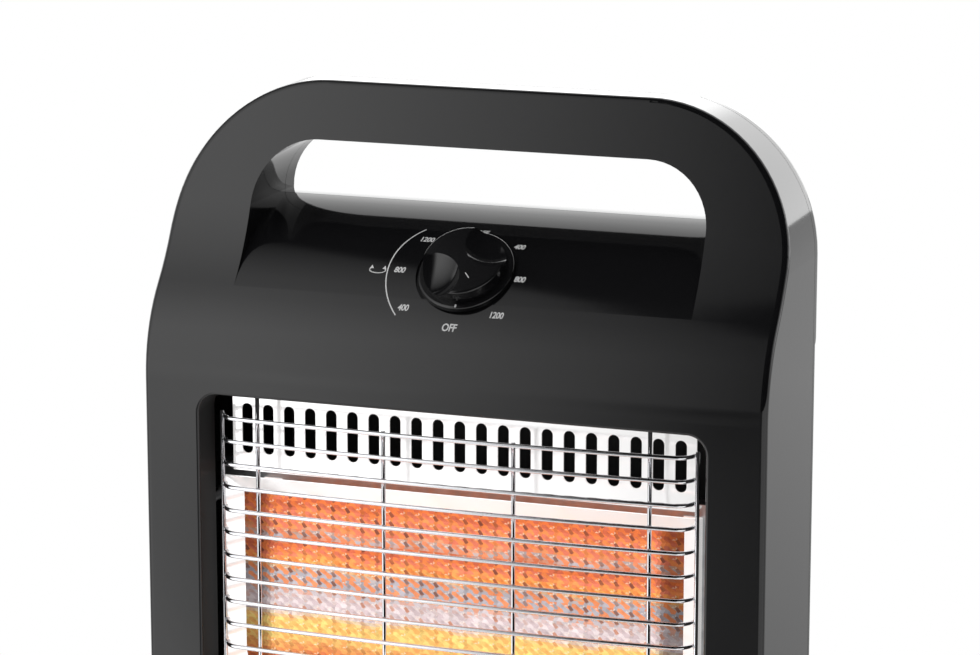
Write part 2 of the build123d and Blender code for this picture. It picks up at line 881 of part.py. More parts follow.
with BuildPart() as knob_clip:
    with BuildSketch(knob_under_plane.offset(knob_cavity_height)):
        Circle(clip_radius)
        Circle(spindle_radius + shaft_fit, mode=Mode.SUBTRACT)
        with Locations((0, clip_radius)):
            Rectangle(clip_slit, 2 * clip_wall + spindle_radius, mode=Mode.SUBTRACT)
    extrude(amount=clip_length)
save(knob_clip, "knob_clip")

with BuildPart() as switch_spindle:
    with BuildSketch(seat_under_plane.offset(-switch_depth / 2)):
        Circle(spindle_radius)
    extrude(amount=switch_depth / 2 + casing_wall + spindle_height)
    with BuildSketch(knob_under_plane.offset(knob_cavity_height)):
        with Locations((0, spindle_radius)):
            Rectangle(2 * spindle_radius, spindle_radius / 2)
    extrude(amount=spindle_height, mode=Mode.SUBTRACT)
save(switch_spindle, "switch_spindle")

with BuildPart() as rotary_switch:
    with BuildSketch(seat_under_plane):
        RectangleRounded(switch_width, switch_width, switch_corner_radius)
    extrude(amount=-switch_depth)
    with BuildSketch(seat_under_plane):
        Circle(bushing_radius)
    extrude(amount=casing_wall + bushing_height)
    with BuildSketch(seat_under_plane.offset(-switch_depth)):
        with GridLocations(switch_width / 3, switch_width / 2, 3, 2):
            Rectangle(terminal_width, sheet)
    extrude(amount=-terminal_length)
    with BuildSketch(seat_under_plane.offset(-switch_depth / 2 - running_gap)):
        Circle(spindle_radius + shaft_fit)
    extrude(amount=switch_depth + casing_wall + bushing_height, mode=Mode.SUBTRACT)
save(rotary_switch, "rotary_switch")

with BuildPart() as switch_nut:
    with BuildSketch(seat_plane):
        RegularPolygon(nut_radius, 6)
        Circle(bushing_radius, mode=Mode.SUBTRACT)
    extrude(amount=nut_height)
save(switch_nut, "switch_nut")

shield_back_y = shield_y + sheet
with BuildPart() as thermal_cutout:
    with BuildSketch(upright(shield_back_y)):
        with Locations((0, cutout_z)):
            SlotOverall(cutout_ear_length, cutout_ear_width)
    extrude(amount=-sheet)
    with BuildSketch(upright(shield_back_y)):
        with Locations((0, cutout_z)):
            Circle(cutout_radius)
    extrude(amount=-cutout_depth)
    with BuildSketch(upright(shield_back_y + cutout_depth)):
        with Locations(*[(side * cutout_radius / 2, cutout_z) for side in (-1, 1)]):
            Rectangle(sheet, terminal_width)
    extrude(amount=-terminal_length)
save(thermal_cutout, "thermal_cutout")

with BuildPart() as terminal_block:
    with BuildSketch(upright(shield_back_y)):
        with Locations((0, block_z)):
            Rectangle(block_length, block_height)
    extrude(amount=-block_depth)
    with BuildSketch(upright(shield_back_y + block_depth)):
        with Locations((0, block_z)):
            with GridLocations(block_length / 4, block_height / 2, 4, 2):
                Circle(small_head_radius)
    extrude(amount=block_depth / 2, mode=Mode.SUBTRACT)
save(terminal_block, "terminal_block")


# ================================================================ swing

with BuildPart() as neck_hub:
    with BuildSketch(Plane.XY.offset(yoke_top)):
        Circle(hub_radius)
    extrude(amount=flange_bottom - yoke_top)
    with BuildSketch(Plane.XY.offset(hub_bottom)):
        Circle(drum_radius)
    extrude(amount=flange_bottom - hub_bottom)
    with BuildSketch(Plane.XY.offset(flange_bottom)):
        Circle(hub_flange_radius)
    extrude(amount=hub_flange_height)
    with BuildSketch(Plane.XY.offset(yoke_top)):
        Circle(hub_bore)
    extrude(amount=casing_bottom - yoke_top, mode=Mode.SUBTRACT)
    with BuildSketch(Plane.XY.offset(yoke_top)):
        with PolarLocations(hub_screw_ring_radius, 3, start_angle=180, angular_range=180, endpoint=True):
            Circle(small_screw_radius + screw_fit)
    extrude(amount=small_screw_length, mode=Mode.SUBTRACT)
    with BuildSketch(Plane.XY.offset(flange_bottom)):
        with Locations(*neck_spots):
            Circle(screw_radius + screw_fit)
    extrude(amount=hub_flange_height, mode=Mode.SUBTRACT)
save(neck_hub, "neck_hub")

with BuildPart() as neck_screws:
    with BuildSketch(Plane.XY.offset(flange_bottom)):
        with Locations(*neck_spots):
            Circle(screw_head_radius)
    extrude(amount=-screw_head_height)
    with BuildSketch(Plane.XY.offset(flange_bottom)):
        with Locations(*neck_spots):
            Circle(screw_radius)
    extrude(amount=neck_screw_length)
save(neck_screws, "neck_screws")

with BuildPart() as bearing_washer:
    with BuildSketch(Plane.XY.offset(base_top)):
        Circle(washer_radius)
        Circle(hub_radius + running_gap, mode=Mode.SUBTRACT)
    extrude(amount=washer_height)
save(bearing_washer, "bearing_washer")

# the slot lets the pin pass at both its dead points
slot_width_in_yoke = 2 * crank_pin_radius + slot_slack
slot_length_in_yoke = 2 * crank_throw + 2 * crank_pin_radius + 2 * running_gap
with BuildPart() as yoke_arm:
    with BuildSketch(Plane.XY.offset(yoke_bottom)):
        Circle(yoke_disc_radius)
        with Locations((0, crank_offset)):
            SlotOverall(
                slot_length_in_yoke + 2 * yoke_margin,
                slot_width_in_yoke + 2 * yoke_margin,
                rotation=90,
            )
            SlotOverall(slot_length_in_yoke, slot_width_in_yoke, rotation=90, mode=Mode.SUBTRACT)
        Circle(yoke_bore, mode=Mode.SUBTRACT)
        with PolarLocations(hub_screw_ring_radius, 3, start_angle=180, angular_range=180, endpoint=True):
            Circle(small_screw_radius + screw_fit, mode=Mode.SUBTRACT)
    extrude(amount=yoke_sheet)
save(yoke_arm, "yoke_arm")

with BuildPart() as hub_screws:
    with BuildSketch(Plane.XY.offset(yoke_bottom)):
        with PolarLocations(hub_screw_ring_radius, 3, start_angle=180, angular_range=180, endpoint=True):
            Circle(small_head_radius)
    extrude(amount=-small_head_height)
    with BuildSketch(Plane.XY.offset(yoke_bottom)):
        with PolarLocations(hub_screw_ring_radius, 3, start_angle=180, angular_range=180, endpoint=True):
            Circle(small_screw_radius)
    extrude(amount=small_screw_length)
save(hub_screws, "hub_screws")

with BuildPart() as crank:
    with BuildSketch(Plane.XY.offset(motor_top - motor_shaft_depth + running_gap)):
        with Locations((0, crank_offset)):
            Circle(motor_shaft_radius)
    extrude(amount=crank_top - motor_top + motor_shaft_depth - running_gap)
    with BuildSketch(Plane.XY.offset(crank_bottom)):
        with Locations((0, crank_offset + crank_throw / 2)):
            SlotCenterToCenter(crank_throw, 2 * crank_half_width, rotation=90)
    extrude(amount=crank_sheet)
    with BuildSketch(Plane.XY.offset(crank_top)):
        with Locations((0, crank_offset + crank_throw)):
            Circle(crank_pin_radius)
    extrude(amount=yoke_top + running_gap - crank_top)
save(crank, "crank")

motor_y = crank_offset + motor_shift
motor_ears = [(side * motor_ear_x, motor_y) for side in (-1, 1)]
with BuildPart() as swing_motor:
    with BuildSketch(Plane.XY.offset(motor_bottom)):
        with Locations((0, motor_y)):
            Circle(motor_radius)
    extrude(amount=motor_height)
    with BuildSketch(Plane.XY.offset(motor_bottom)):
        with Locations((0, motor_y)):
            SlotCenterToCenter(2 * motor_ear_x, 4 * small_head_radius)
        with Locations(*motor_ears):
            Circle(small_screw_radius + screw_fit, mode=Mode.SUBTRACT)
    extrude(amount=motor_ear_sheet)
    fillet(swing_motor.faces().sort_by(Axis.Z)[-1].edges(), motor_ear_sheet)
    with BuildSketch(Plane.XY.offset(motor_top)):
        with Locations((0, crank_offset)):
            Circle(motor_shaft_radius + shaft_fit)
    extrude(amount=-motor_shaft_depth, mode=Mode.SUBTRACT)
save(swing_motor, "swing_motor")

with BuildPart() as motor_screws:
    with BuildSketch(Plane.XY.offset(motor_bottom + motor_ear_sheet)):
        with Locations(*motor_ears):
            Circle(small_head_radius)
    extrude(amount=small_head_height)
    with BuildSketch(Plane.XY.offset(motor_bottom + motor_ear_sheet)):
        with Locations(*motor_ears):
            Circle(small_screw_radius)
    extrude(amount=-motor_ear_sheet - plate_sheet)
save(motor_screws, "motor_screws")


# ================================================================ base


def draw_base_section():
    """Draw, in the active sketch, half of the section of the base with sharp corners."""
    Polygon(
        (0, plate_bottom),
        (base_radius, plate_bottom),
        (base_radius, base_rim_top),
        (base_flat_radius, base_top),
        (0, base_top),
        align=None,
    )


plate_radius = base_radius - base_wall - plate_margin

with BuildPart() as base_form:
    with BuildSketch(Plane.XZ):
        draw_base_section()
        fillet(vertices().group_by(Axis.X)[-1].sort_by(Axis.Y)[-1], base_shoulder_radius)
        fillet(vertices().group_by(Axis.Y)[-1].sort_by(Axis.X)[-1], base_crown_radius)
    revolve(axis=Axis.Z)

with BuildPart() as base_hollow:
    with BuildSketch(Plane.XZ):
        draw_base_section()
        offset(amount=-base_wall, kind=Kind.INTERSECTION)
        with Locations(((base_radius - base_wall) / 2, plate_bottom + base_wall)):
            Rectangle(base_radius - base_wall, 4 * base_wall)
    revolve(axis=Axis.Z)

with BuildPart() as base_bosses:
    with BuildSketch(Plane.XY.offset(motor_bottom)):
        with PolarLocations(base_screw_ring_radius, 3, start_angle=30):
            Circle(base_boss_radius)
    extrude(amount=base_top)
    add(base_form.part, mode=Mode.INTERSECT)

with BuildPart() as base_cover:
    add(base_form.part)
    add(base_hollow.part, mode=Mode.SUBTRACT)
    add(base_bosses.part)
    with BuildSketch(Plane.XY.offset(plate_bottom)):
        Circle(hub_radius + running_gap)
    extrude(amount=base_top, mode=Mode.SUBTRACT)
    with BuildSketch(Plane.XY.offset(motor_bottom)):
        with PolarLocations(base_screw_ring_radius, 3, start_angle=30):
            Circle(small_screw_radius + screw_fit)
    extrude(amount=small_screw_length, mode=Mode.SUBTRACT)
    with BuildSketch(upright(base_radius - 2 * base_wall)):
        with Locations((0, gland_z)):
            Circle(gland_radius)
    extrude(amount=-3 * base_wall, mode=Mode.SUBTRACT)
save(base_cover, "base_cover")

with BuildPart() as base_plate:
    with BuildSketch(Plane.XY.offset(plate_bottom)):
        Circle(plate_radius)
        with PolarLocations(base_screw_ring_radius, 3, start_angle=30):
            Circle(small_screw_radius + screw_fit, mode=Mode.SUBTRACT)
        with PolarLocations(foot_ring_radius, 4, start_angle=45):
            Circle(foot_peg_radius, mode=Mode.SUBTRACT)
        with Locations(*motor_ears):
            Circle(small_screw_radius + screw_fit, mode=Mode.SUBTRACT)
        with Locations((0, tip_y)):
            Circle(tip_radius + shaft_fit, mode=Mode.SUBTRACT)
    extrude(amount=plate_sheet)
save(base_plate, "base_plate")

with BuildPart() as base_feet:
    with BuildSketch():
        with PolarLocations(foot_ring_radius, 4, start_angle=45):
            Circle(foot_radius)
    extrude(amount=plate_bottom)
    with BuildSketch(Plane.XY.offset(plate_bottom)):
        with PolarLocations(foot_ring_radius, 4, start_angle=45):
            Circle(foot_peg_radius)
    extrude(amount=2 * plate_sheet)
save(base_feet, "base_feet")

with BuildPart() as base_screws:
    with BuildSketch(Plane.XY.offset(plate_bottom)):
        with PolarLocations(base_screw_ring_radius, 3, start_angle=30):
            Circle(small_head_radius)
    extrude(amount=-small_head_height)
    with BuildSketch(Plane.XY.offset(plate_bottom)):
        with PolarLocations(base_screw_ring_radius, 3, start_angle=30):
            Circle(small_screw_radius)
    extrude(amount=small_screw_length)
save(base_screws, "base_screws")

with BuildPart() as base_weight:
    with BuildSketch(Plane.XY.offset(motor_bottom)):
        Circle(weight_outer_radius)
        Circle(weight_inner_radius, mode=Mode.SUBTRACT)
    extrude(amount=weight_height)
save(base_weight, "base_weight")

with BuildPart() as cord_gland:
    with BuildSketch(upright(base_radius - gland_recess)):
        with Locations((0, gland_z)):
            Circle(gland_radius)
    extrude(amount=gland_length)
    with BuildSketch(upright(base_radius - base_wall - running_gap)):
        with Locations((0, gland_z)):
            Circle(gland_flange_radius)
    extrude(amount=gland_flange)
    with BuildSketch(upright(base_radius)):
        with Locations((0, gland_z)):
            Circle(cord_hole_radius)
    extrude(amount=2 * gland_length, mode=Mode.SUBTRACT)
save(cord_gland, "cord_gland")


# ================================================================ tip-over switch

tip_flange_z = motor_bottom + tip_travel + running_gap
spring_bottom = tip_flange_z + tip_flange_height
spring_top = motor_bottom + tip_case_height - base_wall
with BuildPart() as tip_switch:
    with BuildSketch(Plane.XY.offset(motor_bottom)):
        with Locations((0, tip_y)):
            RectangleRounded(tip_case_width, tip_case_depth, tip_case_corner_radius)
    extrude(amount=tip_case_height)
    with BuildSketch(Plane.XY.offset(motor_bottom)):
        with Locations((0, tip_y)):
            Circle(tip_cavity_radius)
    extrude(amount=tip_case_height - base_wall, mode=Mode.SUBTRACT)
save(tip_switch, "tip_switch")

with BuildPart() as tip_plunger:
    with BuildSketch():
        with Locations((0, tip_y)):
            Circle(tip_radius)
    extrude(amount=tip_length)
    with BuildSketch(Plane.XY.offset(tip_flange_z)):
        with Locations((0, tip_y)):
            Circle(tip_flange_radius)
    extrude(amount=tip_flange_height)
save(tip_plunger, "tip_plunger")

spring_rise = spring_top - spring_bottom - 2 * spring_wire
with BuildPart() as tip_spring:
    with BuildLine(Plane(origin=(0, tip_y, spring_bottom + spring_wire))) as coil:
        Helix(spring_rise / spring_turns, spring_rise, spring_radius)
    with BuildSketch(Plane(origin=coil.line @ 0, z_dir=coil.line % 0)):
        RegularPolygon(spring_wire, spring_sides)
    sweep(path=coil.line, is_frenet=True)
save(tip_spring, "tip_spring")
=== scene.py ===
"""Dresses the swinging halogen heater: round guard wires, embossed reflector, coiled filaments,
dial marks, screws and every finish, in the heater's own frame and in metres."""

import json
import math

import bpy
import numpy as np
from bpy.props import FloatProperty, FloatVectorProperty, IntProperty, PointerProperty
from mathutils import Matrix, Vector


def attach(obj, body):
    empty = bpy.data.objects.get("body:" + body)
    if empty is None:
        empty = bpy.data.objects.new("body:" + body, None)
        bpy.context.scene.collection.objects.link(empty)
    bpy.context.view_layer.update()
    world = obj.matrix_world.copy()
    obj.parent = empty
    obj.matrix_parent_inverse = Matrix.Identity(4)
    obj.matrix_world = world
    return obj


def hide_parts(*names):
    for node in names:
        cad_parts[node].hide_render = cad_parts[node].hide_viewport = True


bl_info = {
    "name": "Halogen heater dressing",
    "version": (1, 0, 0),
    "blender": (4, 5, 0),
    "location": "3D View > Sidebar > Heater",
    "description": "Builds the guard, reflector, lamps, dial marks and finishes of a heater",
    "category": "Add Mesh",
}

MM = 0.001
DISPLAY_GAMMA = 2.2

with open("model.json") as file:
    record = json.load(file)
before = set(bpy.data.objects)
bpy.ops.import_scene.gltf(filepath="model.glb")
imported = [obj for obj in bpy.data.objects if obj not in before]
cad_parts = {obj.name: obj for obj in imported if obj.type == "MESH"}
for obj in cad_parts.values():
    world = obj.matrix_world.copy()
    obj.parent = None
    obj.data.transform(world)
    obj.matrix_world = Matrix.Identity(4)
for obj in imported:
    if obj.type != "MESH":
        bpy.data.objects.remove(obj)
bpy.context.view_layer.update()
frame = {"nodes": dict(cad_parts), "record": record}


def length(name, description, millimetres):
    """A length that a user may change."""
    default = millimetres * MM
    return FloatProperty(
        name=name, description=description, default=default, unit="LENGTH", precision=5
    )


def colour(name, description, default):
    """A linear colour that a user may change."""
    return FloatVectorProperty(
        name=name, description=description, default=default, size=3, subtype="COLOR", min=0, max=1
    )


def angle(name, description, degrees):
    """An angle that a user may change."""
    return FloatProperty(
        name=name, description=description, default=math.radians(degrees), subtype="ANGLE"
    )


# ---------------------------------------------------------------- settings


class GuardSettings(bpy.types.PropertyGroup):
    """Sizes of the welded wire guard."""

    wire_radius: length("Wire radius", "Radius of every wire", 1.0)
    bars: IntProperty(name="Bars", description="Number of bars", default=25, min=2)
    pitch: length("Bar pitch", "Distance between bars", 11.0)
    top: length("Top bar", "Height of the top bar", 377.3)
    bow_front: length("Bow front", "Depth of a bar at its middle", -57.4)
    bow_radius: length("Bow radius", "Radius that the bars bow to", 1400.0)
    bow_half_width: length("Bow half width", "Where a bar starts to bend back", 106.6)
    bend_radius: length("Bend radius", "Radius of a bar's end bend", 8.0)
    bend_turn: angle("Bend turn", "Angle of a bar's end bend", 76)
    inner_x: length("Inner uprights", "Distance of the inner uprights from the middle", 31.5)
    outer_x: length("Outer uprights", "Distance of the outer uprights from the middle", 95.1)
    weld: length("Weld depth", "How far two wires sink together at a weld", 0.3)
    foot: length("Upright foot", "Height of the outer uprights' lower ends", 92.6)
    head: length("Upright head", "Height of the outer uprights' upper ends", 391.4)


class ReflectorSettings(bpy.types.PropertyGroup):
    """Sizes of the embossed reflector."""

    half_width: length("Half width", "Half width of the panel", 107.7)
    bottom: length("Bottom", "Lower edge of the panel", 108.0)
    top: length("Top", "Upper edge of the panel", 340.0)
    face: length("Face", "Depth of the panel's face", -40.0)
    rim_width: length("Rim width", "Width of the flared rim", 7.6)
    rim_depth: length("Rim depth", "How far the rim flares forward", 4.6)
    sheet: length("Sheet", "Thickness of the sheet", 0.8)
    trough_mouth: length("Trough mouth", "Half height of a trough's mouth", 21.0)
    trough_floor: length("Trough floor", "Half height of a trough's floor", 8.0)
    trough_depth: length("Trough depth", "Depth of a trough", 22.0)
    cell_width: length("Cell width", "Pitch of the embossed diamonds across", 7.2)
    cell_height: length("Cell height", "Pitch of the embossed diamonds along the sheet", 4.5)
    relief: length("Relief", "Height of the embossed diamonds", 0.5)


class LampSettings(bpy.types.PropertyGroup):
    """Sizes of the lamps."""

    lamps: IntProperty(name="Lamps", description="Number of lamps", default=3, min=1)
    top: length("Top lamp", "Height of the top lamp", 238.0)
    pitch: length("Lamp pitch", "Distance between lamps", 50.0)
    depth: length("Lamp depth", "Depth of the lamps", -31.0)
    coil_radius: length("Coil radius", "Radius of the filament coil", 1.25)
    coil_wire: length("Coil wire", "Radius of the filament wire", 0.15)
    coil_pitch: length("Coil pitch", "Pitch of the filament coil", 1.0)
    coil_half_length: length("Coil half length", "Half length of the coil", 88.0)
    lead_half_length: length("Lead half length", "Half length of coil and leads", 98.0)
    support_pitch: length("Support pitch", "Distance between the coil's supports", 25.0)
    tube_bore: length("Tube bore", "Inner radius of the quartz tube", 3.9)


class DialSettings(bpy.types.PropertyGroup):
    """Sizes of the printed dial and of the knob that it goes round."""

    front: length("Front", "Depth of the upright front", -58.0)
    bulge_start: length("Bulge start", "Height where the front starts to lean back", 395.0)
    bulge_radius: length("Bulge radius", "Radius of the bulge under the dial", 67.0)
    bulge_turn: angle("Bulge turn", "Lean at the end of the bulge", 40)
    shoulder_radius: length("Shoulder radius", "Radius of the shoulder", 96.0)
    knob_turn: angle("Knob turn", "Lean of the shoulder at the knob", 50)
    seat_depth: length("Seat depth", "Depth of the knob's seat", 1.4)
    knob_gap: length("Knob gap", "Gap under the knob", 0.3)
    knob_height: length("Knob height", "Height of the knob", 10.0)
    skirt_height: length("Skirt height", "Height of the knob's skirt", 3.0)
    letter_height: length("Letter height", "Height of the printed letters", 3.1)
    ink: length("Ink", "How far the print stands above the casing", 0.06)


class ScrewSettings(bpy.types.PropertyGroup):
    """Places of the screws that show."""

    case_x: length("Case screws", "Distance of the side screws from the middle", 136.1)
    case_low: length("Low case screws", "Height of the lowest case screws", 75.0)
    case_middle: length("Middle case screws", "Height of the middle case screws", 232.0)
    case_high: length("High case screws", "Height of the upper case screws", 385.0)
    top_x: length("Top screws", "Distance of the top screws from the middle", 60.0)
    top_z: length("Top screw height", "Height of the top screws", 511.5)
    case_seat: length("Case seat", "Depth that the case screws' heads sit at", 22.3)
    neck_x: length("Neck screws", "Distance of the neck screws from the middle", 28.0)
    neck_y: length("Neck screw depth", "Distance of the neck screws front to back", 10.0)
    neck_seat: length("Neck seat", "Height that the neck screws' heads sit at", 42.5)
    base_ring: length("Base ring", "Radius of the ring of base screws", 107.0)
    base_seat: length("Base seat", "Height that the base screws' heads sit at", 2.0)


class FinishSettings(bpy.types.PropertyGroup):
    """Colours of the heater."""

    plastic: colour("Plastic", "Gloss black plastic", (0.0042, 0.0042, 0.0046))
    satin: colour("Satin plastic", "Satin black plastic", (0.018, 0.018, 0.019))
    print_ink: colour("Print", "Printed marks", (0.42, 0.42, 0.42))
    chrome: colour("Chrome", "Chromed wire", (0.9, 0.9, 0.93))
    bright: colour("Bright sheet", "Polished sheet", (0.9, 0.9, 0.91))
    floor: colour("Floor", "Pale studio floor", (0.8, 0.8, 0.8))


# ---------------------------------------------------------------- surfaces

# Share of the half turn from tip to tip at which a weld nugget is cut off.
TIP_CUT = 0.12


def unit(vectors):
    """Vectors scaled to length 1."""
    return vectors / np.linalg.norm(vectors, axis=-1, keepdims=True)


def quads(rows, columns, wrap=False):
    """Corner numbers of the faces of a grid of rows x columns points, closed sideways if wrap."""
    index = np.arange(rows * columns).reshape(rows, columns)
    if wrap:
        index = np.concatenate([index, index[:, :1]], axis=1)
    corners = (index[:-1, :-1], index[:-1, 1:], index[1:, 1:], index[1:, :-1])
    return np.stack(corners, axis=-1).reshape(-1, 4)


def closed(rings, sides):
    """Faces of rings of points, one after the other, closed flat at both ends."""
    ring = np.arange(sides)[None]
    return [quads(rings, sides, wrap=True), ring[:, ::-1], (rings - 1) * sides + ring]


def tube(path, radius, sides, across):
    """Round wire: point(i, t) = path(i) + radius (cos t side + sin t up), where side and up are
    square to the path; both ends are closed flat. across is never parallel to the path."""
    path = np.asarray(path, float)
    along = unit(np.gradient(path, axis=0))
    side = unit(np.cross(along, across))
    up = np.cross(along, side)
    turn = np.linspace(0, 2 * np.pi, sides, endpoint=False)[None, :, None]
    points = path[:, None] + radius * (np.cos(turn) * side[:, None] + np.sin(turn) * up[:, None])
    return points.reshape(-1, 3), closed(len(path), sides)


def blob(centre, radii, rings=5, sides=8):
    """Weld nugget: an ellipsoid, centre + radii (sin v cos u, sin v sin u, cos v), cut flat at its
    tips."""
    v = np.linspace(TIP_CUT * np.pi, (1 - TIP_CUT) * np.pi, rings)[::-1, None]
    u = np.linspace(0, 2 * np.pi, sides, endpoint=False)[None]
    form = np.stack([np.sin(v) * np.cos(u), np.sin(v) * np.sin(u), np.cos(v) + 0 * u], axis=-1)
    return np.asarray(centre) + form.reshape(-1, 3) * np.asarray(radii), closed(rings, sides)


def arc(start, heading, radius, turn, steps):
    """Points (a, b) of an arc that leaves start at the heading angle and turns left by turn:
    start + radius (sin t - sin h, cos h - cos t) for t from the heading h to h + turn."""
    t = heading + np.linspace(0, turn, steps)
    sign = np.sign(turn)
    return np.stack(
        [
            start[0] + sign * radius * (np.sin(t) - np.sin(heading)),
            start[1] + sign * radius * (np.cos(heading) - np.cos(t)),
        ],
        axis=-1,
    )


def new_piece(name, surfaces, body, slot, smooth=True, look=None):
    """Makes one mesh of all surfaces, each (points, [faces, ...]), with the finish of its slot or
    another look, and lets it ride on a body."""
    points = np.concatenate([surface_points for surface_points, _ in surfaces])
    corners, sizes, shift = [], [], 0
    for surface_points, blocks in surfaces:
        for block in blocks:
            corners.append((block + shift).ravel())
            sizes.append(np.full(len(block), block.shape[1]))
        shift += len(surface_points)
    corners, sizes = np.concatenate(corners), np.concatenate(sizes)
    mesh = bpy.data.meshes.new(name)
    mesh.vertices.add(len(points))
    mesh.vertices.foreach_set("co", points.astype(np.float32).ravel())
    mesh.loops.add(len(corners))
    mesh.loops.foreach_set("vertex_index", corners.astype(np.int32))
    mesh.polygons.add(len(sizes))
    mesh.polygons.foreach_set("loop_start", (np.cumsum(sizes) - sizes).astype(np.int32))
    mesh.update(calc_edges=True)
    mesh.validate()
    mesh.polygons.foreach_set("use_smooth", np.full(len(mesh.polygons), smooth))
    mesh.materials.append(finish(look or slot))
    piece = bpy.data.objects.new(name, mesh)
    bpy.context.scene.collection.objects.link(piece)
    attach(piece, body)
    return piece


# ---------------------------------------------------------------- shader nodes


def wire_up(tree, kind, links=(), **settings):
    """Adds a node with its settings and links: links are (input, socket) or (input, number)."""
    node = tree.nodes.new(kind)
    for setting, value in settings.items():
        setattr(node, setting, value)
    for label, source in links:
        if isinstance(source, bpy.types.NodeSocket):
            tree.links.new(source, node.inputs[label])
        else:
            node.inputs[label].default_value = source
    return node


def calc(tree, operation, first, second=0.0):
    """Result of a sum on two numbers."""
    links = [(0, first), (1, second)]
    return wire_up(tree, "ShaderNodeMath", links, operation=operation).outputs[0]


def calc_vector(tree, operation, *vectors):
    """Result of a sum on vectors: a number for a length or a dot product, else a vector."""
    node = wire_up(tree, "ShaderNodeVectorMath", enumerate(vectors), operation=operation)
    return node.outputs["Value" if operation in ("LENGTH", "DOT_PRODUCT") else "Vector"]


def ramp(tree, value, start, end, low=0.0, high=1.0, smooth=True):
    """Number that goes from low at start to high at end, smoothly or straight."""
    links = [("Value", value), ("From Min", start), ("From Max", end)]
    links += [("To Min", low), ("To Max", high)]
    shape = "SMOOTHSTEP" if smooth else "LINEAR"
    return wire_up(tree, "ShaderNodeMapRange", links, interpolation_type=shape).outputs["Result"]


def between(tree, share, first, second):
    """Number that is first where the share is 0 and second where it is 1."""
    change = calc(tree, "MULTIPLY", share, calc(tree, "SUBTRACT", second, first))
    return calc(tree, "ADD", first, change)


def noise(tree, vector, size, detail=2.0):
    """Noise value between 0 and 1 on the vector, times size."""
    links = [("Vector", vector), ("Scale", size), ("Detail", detail)]
    return wire_up(tree, "ShaderNodeTexNoise", links).outputs["Fac"]


def blend_colour(tree, amount, first, second, blend_type="MIX"):
    """Colour between first and second, or blended with it."""
    links = [(0, amount), (6, first), (7, second)]
    node = wire_up(tree, "ShaderNodeMix", links, data_type="RGBA", blend_type=blend_type)
    return node.outputs[2]


def spread(tree, cloud, low, high):
    """Noise, which is mostly between 0.3 and 0.7, taken to low and high."""
    return ramp(tree, cloud, 0.3, 0.7, low, high, smooth=False)


def parts(tree, vector):
    """The three numbers of a vector."""
    return wire_up(tree, "ShaderNodeSeparateXYZ", [(0, vector)]).outputs


def place_on(tree):
    """Place on the object, in its own coordinates."""
    return wire_up(tree, "ShaderNodeTexCoord").outputs["Object"]


# ---------------------------------------------------------------- shader groups

SOCKETS = {4: "NodeSocketColor", 3: "NodeSocketVector", 1: "NodeSocketFloat"}
# Clouds and specks in a metre, and the noise at which a speck of dust starts and is full.
GLOSS_CLOUDS, DUST_CLOUDS, DUST_SPECKS = 14.0, 30.0, 2600.0
SPECK_START, SPECK_FULL = 0.74, 0.8


def open_skin(name, inputs):
    """A shader node group with inputs {name: value}, its input sockets and the place on the
    object."""
    group = bpy.data.node_groups.new(name, "ShaderNodeTree")
    for label, value in inputs.items():
        kind = SOCKETS[np.size(value)]
        socket = group.interface.new_socket(name=label, in_out="INPUT", socket_type=kind)
        socket.default_value = value
    for label, size in (("Colour", 4), ("Roughness", 1), ("Normal", 3)):
        group.interface.new_socket(name=label, in_out="OUTPUT", socket_type=SOCKETS[size])
    return group, group.nodes.new("NodeGroupInput").outputs, place_on(group)


def close_skin(group, colour, roughness, height, depth):
    """Takes the colour, the roughness and a bump of the height to the group's outputs."""
    bump = wire_up(
        group, "ShaderNodeBump", [("Height", height), ("Distance", depth), ("Strength", 1.0)]
    )
    results = [("Colour", colour), ("Roughness", roughness), ("Normal", bump.outputs["Normal"])]
    wire_up(group, "NodeGroupOutput", results)
    return group


def moulded_group():
    """Moulded plastic: cloudy gloss, a fine grain or ripple in the skin and a little dust."""
    group, ins, place = open_skin(
        "moulded_skin",
        {
            "Colour": (0.01, 0.01, 0.01, 1),
            "Dust Colour": (0.05, 0.05, 0.05, 1),
            "Least Roughness": 0.2,
            "Most Roughness": 0.3,
            "Grain Size": 300.0,
            "Grain Depth": 0.00002,
        },
    )
    gloss_clouds = noise(group, place, GLOSS_CLOUDS, 4.0)
    dust_clouds = noise(group, place, DUST_CLOUDS)
    specks = noise(group, place, DUST_SPECKS, 1.0)
    specks = ramp(group, specks, SPECK_START, SPECK_FULL, smooth=False)
    dusty = calc(group, "MULTIPLY", specks, dust_clouds)
    return close_skin(
        group,
        blend_colour(group, dusty, ins["Colour"], ins["Dust Colour"]),
        spread(group, gloss_clouds, ins["Least Roughness"], ins["Most Roughness"]),
        noise(group, place, ins["Grain Size"], 3.0),
        ins["Grain Depth"],
    )


def sheet_group():
    """Sheet metal: drawn or rolled lines, a shift of colour over its area and uneven roughness."""
    group, ins, place = open_skin(
        "metal_skin",
        {
            "Colour": (0.6, 0.6, 0.6, 1),
            "Stain Colour": (0.4, 0.4, 0.4, 1),
            "Least Roughness": 0.2,
            "Most Roughness": 0.3,
            "Line Size": (900.0, 900.0, 40.0),
            "Line Depth": 0.00001,
            "Stain Size": 40.0,
        },
    )
    lines = noise(group, calc_vector(group, "MULTIPLY", place, ins["Line Size"]), 1.0, 3.0)
    stain = spread(group, noise(group, place, ins["Stain Size"], 3.0), 0.0, 1.0)
    return close_skin(
        group,
        blend_colour(group, stain, ins["Colour"], ins["Stain Colour"]),
        spread(group, lines, ins["Least Roughness"], ins["Most Roughness"]),
        lines,
        ins["Line Depth"],
    )


def rgba(value):
    """Colour with full alpha."""
    return (*value, 1.0)


def finish(slot):
    """The material that dresses a slot."""
    return bpy.data.materials[FINISH_OF_SLOT[slot]]


